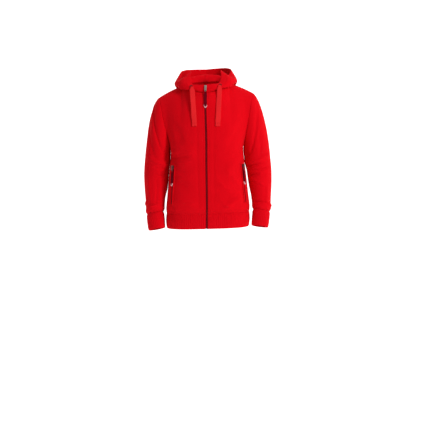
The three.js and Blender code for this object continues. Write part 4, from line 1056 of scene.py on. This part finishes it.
def lay_along(name, lines, material, pitch, size, item=thread_bead):
    """Small rounded bodies laid end to end along lines of (points, normals), as one plain mesh."""
    points, edges, away = [], [], []
    for line, normals in lines:
        first = len(points)
        points += [tuple(p) for p in np.asarray(line) / 1000]
        away += [tuple(n) for n in normals]
        edges += [(first + k, first + k + 1) for k in range(len(line) - 1)]
    mesh = bpy.data.meshes.new(name + "_lines")
    mesh.from_pydata(points, edges, [])
    layer = mesh.attributes.new("away", "FLOAT_VECTOR", "POINT")
    layer.data.foreach_set("vector", np.array(away).ravel())
    guide = new_object(name + "_guide", mesh)
    tree = row_tree(name, material, item)
    modifier = guide.modifiers.new("row", "NODES")
    modifier.node_group = tree
    ids = {e.name: e.identifier for e in tree.interface.items_tree if e.in_out == "INPUT"}
    modifier[ids["Pitch"]] = pitch / 1000
    modifier[ids["Size"]] = [e / 1000 for e in size]
    evaluated = guide.evaluated_get(bpy.context.evaluated_depsgraph_get())
    made = bpy.data.meshes.new_from_object(evaluated)
    made.name = name
    piece = new_object(name, made)
    bpy.data.objects.remove(guide)
    bpy.data.meshes.remove(mesh)
    return piece


def read_line(places, length, points, normals):
    """Points and normals at one length along each of several lines."""
    line, away = [], []
    for k in range(len(points)):
        p = np.array([np.interp(length[k], places[k], points[k][:, i]) for i in range(3)])
        n = unit(np.array([np.interp(length[k], places[k], normals[k][:, i]) for i in range(3)]))
        line.append(p + STITCH_LIFT * n)
        away.append(n)
    return np.array(line), np.array(away)


def cut_line(line, span):
    first, last = (int(round(e * (len(line[0]) - 1))) for e in span)
    return line[0][first:last + 1], line[1][first:last + 1]


def row_line(cloth, distance, from_end=False, span=(0, 1)):
    """A line on the cloth at a fixed distance from its first or last row."""
    length = cloth.v[-1] - distance if from_end else np.full(cloth.v.shape[1], float(distance))
    line = read_line(cloth.v.T, length, cloth.points.swapaxes(0, 1), cloth.normals.swapaxes(0, 1))
    if cloth.closed:
        line = tuple(np.concatenate([e, e[:1]]) for e in line)
    return cut_line(line, span)


def column_line(cloth, distance, from_end=False, span=(0, 1)):
    """A line on the cloth at a fixed distance from its first or last column."""
    length = cloth.u[:, -1] - distance if from_end else np.full(len(cloth.u), float(distance))
    line = read_line(cloth.u, length, cloth.points, cloth.normals)
    return cut_line(line, span)


CAMERA = {"lens": 82.6, "sensor": 36, "far": 30, "at": (0.026, -3.5, -0.132), "tilt": 84.5}


def set_camera():
    """The photograph's view: a long lens some 3.5 m in front, at the height of the chest."""
    data = bpy.data.cameras.new("camera")
    data.lens = CAMERA["lens"]
    data.sensor_width = CAMERA["sensor"]
    data.clip_end = CAMERA["far"]
    camera = new_object("camera", data)
    camera.location = CAMERA["at"]
    camera.rotation_euler = (math.radians(CAMERA["tilt"]), 0, 0)
    bpy.context.scene.camera = camera


STRING = {"wide": 17, "thick": 2.4, "hem": 13}
# The middle of each string, from in front of its eyelet to its sewn end.
STRINGS = {
    "left": [
        (42.2, -80.4, -12.9), (41.7, -81.1, -21.5), (41.3, -81.6, -30.1), (40.8, -82.5, -38.6),
        (40.4, -84.1, -47.2), (40.0, -86.3, -55.8), (39.5, -88.7, -64.3), (39.1, -91.3, -72.9),
        (38.7, -93.9, -81.5), (38.2, -95.6, -90), (37.8, -97.2, -98.6), (37.3, -98.9, -107.2),
        (36.9, -99.8, -115.7), (36.5, -100.8, -124.3), (36, -101.8, -132.9), (35.6, -102.8, -141.4),
        (35.2, -103.8, -150),
    ],
    "right": [
        (-54.7, -80.4, -17.9), (-54.3, -81.4, -26.2), (-53.8, -82.8, -34.4), (-53.4, -84.3, -42.7),
        (-53.0, -86.2, -50.9), (-52.5, -88.2, -59.2), (-52.1, -90.4, -67.5), (-51.6, -92.6, -75.7),
        (-51.2, -94, -84), (-50.8, -95.5, -92.2), (-50.3, -96.9, -100.5), (-49.9, -98.2, -108.7),
        (-49.5, -99.5, -117), (-49, -100.8, -125.2), (-48.6, -101.8, -133.5), (-48.1, -102.8, -141.7),
        (-47.7, -103.8, -150),
    ],
}
STRING_PHASE = {"left": 1.3, "right": 4.1}
STRING_POINTS = 121
STRING_RING = 36


def string_lines(side):
    """A string's middle line, its directions across and out, and its lengths from both ends."""
    middle = resample(np.array(STRINGS[side], float), STRING_POINTS)
    along = unit(np.gradient(middle, axis=0))
    length = line_lengths(middle)
    middle[:, 2] -= 3 * smooth(60, length[-1], length)
    if side == "right":
        middle[:, 0] += mix(1.4, 3.6, length / length[-1])
    twist = 0.09 * np.sin(length / 17 + STRING_PHASE[side]) * smooth(0, 30, length)
    across = unit(xyz(np.cos(twist), np.sin(twist), 0 * twist))
    across = unit(across - along * (across * along).sum(1, keepdims=True))
    out = unit(np.cross(across, along))
    out = out * np.sign(-out[:, 1:2])
    return middle, across, out, length, length[-1] - length


def string_section(wide, thick, close, flute):
    """One flat section with rounded edges, as places across and out."""
    for a in np.linspace(0, 2 * math.pi, STRING_RING, endpoint=False):
        ca, sa = math.cos(a), math.sin(a)
        x = math.copysign(abs(ca) ** 0.55, ca) * (wide - 0.6 * (1 - close))
        y = math.copysign(abs(sa) ** 0.75, sa) * thick * close
        y += flute * math.sin(3 * x / max(wide, 1) * math.pi)
        y *= 1 + 0.22 * math.exp(-(((abs(x) / wide) - 0.8) / 0.13) ** 2)
        yield x, y


def make_strings():
    """Two flat laces that hang from the eyelets, each with its end turned up and sewn."""
    lines = []
    for side in STRINGS:
        middle, across, out, length, end = string_lines(side)
        wide = mix(9.5, STRING["wide"], smooth(0, 15, length)) / 2
        wide = wide + 0.25 * np.sin(length / 9 + STRING_PHASE[side]) * smooth(10, 40, length)
        thick = mix(3.2, STRING["thick"], smooth(0, 16, length)) / 2
        thick = thick + 0.35 * (1 - smooth(STRING["hem"] - 0.5, STRING["hem"] + 1, end))
        close = np.sqrt(np.clip(end, 0.02, 1))
        flute = 0.35 * np.exp(-((length - 14) / 12) ** 2)
        rows = []
        for k in range(len(middle)):
            section = string_section(wide[k], thick[k], close[k], flute[k])
            rows.append([middle[k] + across[k] * x + out[k] * y for x, y in section])
        piece = tube(Cloth("drawstring_" + side, np.array(rows), 1, True, posed=True))
        dress(piece, LACE, replaces=["drawstring_" + side], slot="drawstring")
        path = [[float(e) / 1000 for e in p] for p in middle[::6]]
        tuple(path[0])
        for at in (STRING["hem"] - 1.8, STRING["hem"] - 4.2):
            k = int(np.argmin(np.abs(end - at)))
            reach = np.linspace(-0.86, 0.86, 9)[:, None] * wide[k]
            line = middle[k] + across[k] * reach + out[k] * (thick[k] + 0.12)
            lines.append((line, np.repeat(out[k][None], 9, 0)))
    stitches = lay_along("string_stitches", lines, THREAD, STRING_STITCH["pitch"], STRING_STITCH["size"])
    dress(stitches, THREAD)


def tube(cloth):
    """A closed mesh round rows of rings, with flat ends."""
    build = Builder()
    rows, columns = cloth.points.shape[:2]
    for line, places in zip(cloth.points, np.stack([cloth.u, cloth.v], -1)):
        build.add(line, places)
    for r in range(rows - 1):
        for c in range(columns):
            d = (c + 1) % columns
            build.face((r * columns + c, r * columns + d, (r + 1) * columns + d, (r + 1) * columns + c))
    build.face(tuple(range(columns))[::-1])
    build.face(tuple((rows - 1) * columns + c for c in range(columns)))
    return build.object(cloth.name + "_cloth")


TAPE_WALL = 0.8
TAPE_REACH = 11.5
ZIP_TOP = -21
TOOTH = {"pitch": 2.7, "size": (0.86, 1.55, 0.95)}
POCKET_TOOTH = {"pitch": 2.1, "size": (0.66, 1.25, 0.62)}


def zip_stations(band, panels, hoods):
    """Up both edges of the zip: the hem band, the panels and the stand of the hood."""
    sides = []
    for column, panel, hood in ((0, panels[0], hoods[0]), (-1, panels[1], hoods[1])):
        second = 1 if column == 0 else -2
        parts = [
            (band.points[:, column], band.points[:, second], band.normals[:, column]),
            (panel.points[:, 0], panel.points[:, 1], panel.normals[:, 0]),
        ]
        share = hood.v[:, 0] / hood.v[-1, 0]
        keep = (share > 0.22) & (share < 0.94)
        parts.append((hood.points[keep, 0], hood.points[keep, 1], hood.normals[keep, 0]))
        p, q, n = (np.concatenate([part[i] for part in parts]) for i in range(3))
        n[:, 0] = 0
        sides.append((p, unit(q - p), unit(n)))
    return sides


def soft_line(values, passes=14):
    """Evens out a line of points, with its ends kept."""
    values = np.array(values, float)
    for _ in range(passes):
        values[1:-1] = (values[:-2] + 2 * values[1:-1] + values[2:]) / 4
    return values


def tooth_lines(middle, normal, tooth, across, lift):
    """Two lines of teeth beside a zip's middle, half a pitch apart."""
    along = unit(np.gradient(middle, axis=0))
    lines = []
    for side, phase in ((1, 0.0), (-1, 0.5)):
        shift = along * phase * tooth["pitch"]
        lines.append((middle + shift + across * side + normal * lift, normal))
    return lines


def make_zip(band, panels, hoods):
    """The front zip: a tape under each edge and the teeth between them."""
    sides = zip_stations(band, panels, hoods)
    for side, (p, _, n) in zip((1, -1), sides):
        p = soft_line(p)
        neck = smooth(-85, -55, p[:, 2])[:, None]
        flat = unit(mix(soft_line(n), np.array([0, -1.0, 0]), neck))
        deep = CLOTH + 0.5 + 3 * neck + 0.8 * smooth(-434, -456, p[:, 2:])
        step = unit(np.cross(flat, np.array([0, 0, 1.0]))) * side
        step = step * np.sign(step[:, :1] * side)
        columns = [p + step * reach - flat * deep for reach in np.linspace(0.3 - ZIP_HALF, TAPE_REACH, 6)]
        name = sided("zip_tape", side)
        cloth = Cloth(name, np.stack(columns, 1), side, posed=True)
        dress(wall(cloth, TAPE_WALL), TAPE, replaces=[name], slot="tape")
    middle = soft_line((sides[0][0] + sides[1][0]) / 2)
    normal = unit(soft_line(unit(sides[0][2] + sides[1][2])))
    keep = middle[:, 2] < ZIP_TOP
    middle, normal = middle[keep], normal[keep]
    lines = tooth_lines(middle, normal, TOOTH, np.array([1.15, 0, 0]), -1.15)
    teeth = lay_along("zip_teeth", lines, TEETH, TOOTH["pitch"], TOOTH["size"], tooth_block)
    dress(teeth, TEETH, replaces=["zip_chain"], slot="teeth")


WELT_HALF = 7  # from the middle of a pocket's zip to the outer edge of a welt
WELT_WALL = 1.0
WELT_STITCH = 6.6


def pocket_profile(offset, ends):
    """The height of a pocket's two welts over the cloth, with the zip's channel between them."""
    lips = 3.4 * np.exp(-(((np.abs(offset) - 4.4) / 2.1) ** 4))
    return 0.3 + lips * ends + 1.0 * ends * (np.abs(offset) < 2.6)


def pocket_grid(name, panel):
    """Rows of points over a pocket's opening, with its middle line and that line's normals."""
    share = np.linspace(0, 1, 91)
    z = mix(POCKET["low"], POCKET["top"], share)
    goal = mix(POCKET["at_low"], POCKET["at_top"], share)
    if name == "right":
        goal = goal - POCKET["right_in"]
    rest = panel.rest
    grid, away, middle = [], [], []
    for k in range(len(share)):
        r = float(np.interp(z[k], rest[:, 0, 2], np.arange(len(rest))))
        i = int(r)
        x = np.abs(mix(rest[i, :, 0], rest[i + 1, :, 0], r - i))
        u = mix(panel.u[i], panel.u[i + 1], r - i)
        c = float(np.interp(goal[k], x, np.arange(len(x))))
        here = np.interp(c, np.arange(len(u)), u)
        ends = float(smooth(0, 0.03, share[k]) * (1 - smooth(0.97, 1, share[k])))
        line = []
        for offset in np.linspace(-WELT_HALF, WELT_HALF, 29):
            p, n = on_cloth(panel, r, float(np.interp(here + offset, u, np.arange(len(u)))))
            line.append(p + n * pocket_profile(offset, ends))
        grid.append(line)
        p, n = on_cloth(panel, r, c)
        middle.append(p)
        away.append(n)
    return np.array(grid), soft_line(middle, 4), unit(soft_line(away, 4))


def make_pocket(name, panel):
    """Two folded welts sewn on at the pocket's opening, with a closed zip between them."""
    grid, middle, away = pocket_grid(name, panel)
    piece = wall(Cloth("welt_" + name, grid, panel.outward, posed=True), WELT_WALL)
    dress(piece, FLEECE, replaces=["welt_" + name])
    middle, away = middle[3:-3], away[3:-3]
    across = unit(np.cross(unit(np.gradient(middle, axis=0)), away))
    lines = tooth_lines(middle, away, POCKET_TOOTH, across * 0.95, 2.9)
    pitch, size = POCKET_TOOTH["pitch"], POCKET_TOOTH["size"]
    teeth = lay_along("pocket_teeth_" + name, lines, TEETH, pitch, size, tooth_block)
    dress(teeth, TEETH, replaces=["pocket_zip_" + name], slot="teeth")
    return [(middle + across * reach + away * 0.7, away) for reach in (-WELT_STITCH, WELT_STITCH)]


WORLD_STRENGTH = 0.35
AIM = (0, 0, -0.25)
LAMPS = table(
    "name at size power",
    ("key", (2.1, -2.5, 1.0), 0.8, 74),
    ("fill", (-1.6, -2.8, 0.3), 1.8, 4),
    ("top", (0.5, 0.2, 2.3), 1.4, 7),
)


def set_light():
    """A key lamp on the left side, two weak lamps and an even white surround."""
    world = bpy.data.worlds.new("studio")
    world.use_nodes = True
    surround = world.node_tree.nodes["Background"].inputs
    surround["Color"].default_value = (1, 1, 1, 1)
    surround["Strength"].default_value = WORLD_STRENGTH
    bpy.context.scene.world = world
    bpy.context.scene.view_settings.view_transform = "Standard"
    for lamp in LAMPS:
        data = bpy.data.lights.new(lamp["name"], "AREA")
        data.energy = lamp["power"]
        data.size = lamp["size"]
        light = new_object(lamp["name"], data)
        light.location = lamp["at"]
        aim = Vector(AIM) - Vector(lamp["at"])
        light.rotation_euler = aim.to_track_quat("-Z", "Y").to_euler()


def set_floor():
    """A pale floor that curves up into the studio's back wall."""
    low, far, bend = -1.19, 2.6, 1.6
    profile = [(-0.7, low)]
    for a in np.linspace(0, math.pi / 2, 17):
        profile.append((far - bend + bend * math.sin(a), low + bend - bend * math.cos(a)))
    profile.append((far, 6.0))
    points = [(x, y, z) for y, z in profile for x in (-8, 8)]
    faces = [(2 * k, 2 * k + 1, 2 * k + 3, 2 * k + 2) for k in range(len(profile) - 1)]
    mesh = bpy.data.meshes.new("floor")
    mesh.from_pydata(points, [], faces)
    mesh.polygons.foreach_set("use_smooth", [True] * len(faces))
    floor = new_object("floor", mesh)
    paint = Paint("pale_paper")
    paint.look({
        "Base Color": (0.95, 0.95, 0.95, 1),
        "Roughness": 0.9,
        "Specular IOR Level": 0.0,
        "Emission Color": (1, 1, 1, 1),
        "Emission Strength": 0.62,
    })
    mesh.materials.append(paint.material)


# The flat cut of each piece: width and length in metres, area in square metres, how it is held
# and what it rests on.
SHEETS = table(
    "name flat area held on",
    ("front_left", (0.223, 0.492), 0.0856, "draped", ["back"]),
    ("front_right", (0.223, 0.492), 0.0837, "draped", ["back"]),
    ("back", (0.432, 0.485), 0.1715, "draped", ["front_left", "front_right"]),
    ("sleeve_left", (0.480, 0.437), 0.0960, "hung", ["front_left", "back"]),
    ("sleeve_right", (0.467, 0.429), 0.0934, "hung", ["front_right", "back"]),
    ("hood_left", (0.389, 0.367), 0.0505, "draped", ["back", "front_left"]),
    ("hood_right", (0.382, 0.367), 0.0507, "draped", ["back", "front_right"]),
    ("hem_band", (0.877, 0.053), 0.0460, "hung", ["back", "front_left", "front_right"]),
    ("cuff_left", (0.188, 0.055), 0.0102, "hung", ["sleeve_left"]),
    ("cuff_right", (0.188, 0.055), 0.0102, "hung", ["sleeve_right"]),
)


def declare(cloth):
    sheet = next(row for row in SHEETS if row["name"] == cloth.name)
    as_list(sheet["on"])


def make_pieces():
    """All cloth pieces, each as a thin closed wall."""
    panels = [make_panel("front", 1), make_panel("front", -1), make_panel("back", 1)]
    sleeves = [make_sleeve(1), make_sleeve(-1)]
    hoods = [make_hood(1), make_hood(-1)]
    band = make_band(panels)
    cuffs = [make_cuff(1), make_cuff(-1)]
    for cloth in panels + sleeves:
        _, _, low, high = seam_distances(cloth)
        thickness = CLOTH - 1.2 * (1 - smooth(0, 6, np.minimum(low, high)))
        piece = wall(cloth, thickness, two_sided=True)
        dress(piece, FLEECE, replaces=[cloth.name])
        piece.data.materials.append(FLEECE_INSIDE)
        declare(cloth)
    for cloth in hoods:
        _, _, low, high = seam_distances(cloth)
        thickness = CLOTH - 1.4 * (1 - smooth(0, 6, low)) + 1.0 * (1 - smooth(20, 26, high))
        piece = wall(cloth, thickness, round_last=True)
        dress(piece, FLEECE, replaces=[cloth.name])
        declare(cloth)
    for cloth in [band] + cuffs:
        turned = cloth is band
        piece = wall(cloth, CLOTH + 0.5, round_first=turned, round_last=not turned)
        dress(piece, RIB_KNIT, replaces=[cloth.name], slot="rib")
        declare(cloth)
    return panels, sleeves, hoods, band


def make_stitches(panels, sleeves, hoods, pockets):
    """Every row of stitches on the cloth, in one piece."""
    lines = list(pockets)
    for cloth in panels:
        lines += [row_line(cloth, at) for at in HEM_STITCH]
        spans = SHOULDERS[cloth.name.split("_")[0]]
        lines += [row_line(cloth, SHOULDER_STITCH, from_end=True, span=span) for span in spans]
    for cloth in panels[:2]:
        lines.append(column_line(cloth, ZIP_STITCH))
    for cloth in sleeves:
        lines += [row_line(cloth, at, from_end=True) for at in HEM_STITCH]
    for cloth in hoods:
        lines.append(row_line(cloth, TUNNEL, from_end=True, span=(0.12, 1)))
        lines.append(column_line(cloth, SEAM_STITCH, from_end=True, span=(0.06, 0.97)))
    dress(lay_along("stitching", lines, THREAD, STITCH["pitch"], STITCH["size"]), THREAD)


# The hard pieces that stay on the cloth: finish, how far the edges are rounded, and slot.
HARDWARE = table(
    "name finish edge slot",
    ("slider_main", NICKEL, 0.35, "metal"),
    ("slider_left", GUNMETAL, 0.3, "metal"),
    ("slider_right", GUNMETAL, 0.3, "metal"),
    ("eyelet_left", EYELET, 0.2, "eyelet"),
    ("eyelet_right", EYELET, 0.2, "eyelet"),
)


def make_hardware():
    """Sliders, eyelets and pulls, from their own solids."""
    for part in HARDWARE:
        soften(part["name"], part["finish"], part["edge"], slot=part["slot"])
    for pull in PULLS:
        name, body = pull["name"], pull["body"]
        soften(name + "_tab", NICKEL if name == "pull_main" else GUNMETAL, 0.25, body)
        soften(name + "_cord", PULL_CORD, 0.5, body, "pull_cord")
        soften(name + "_tip", PULL_TIP, 0.7, body, "tip")
        make_tongue(pull)


def main():
    set_camera()
    make_strings()
    panels, sleeves, hoods, band = make_pieces()
    make_zip(band, panels, hoods)
    pockets = make_pocket("left", panels[0]) + make_pocket("right", panels[1])
    make_stitches(panels, sleeves, hoods, pockets)
    make_hardware()
    set_light()
    set_floor()


main()
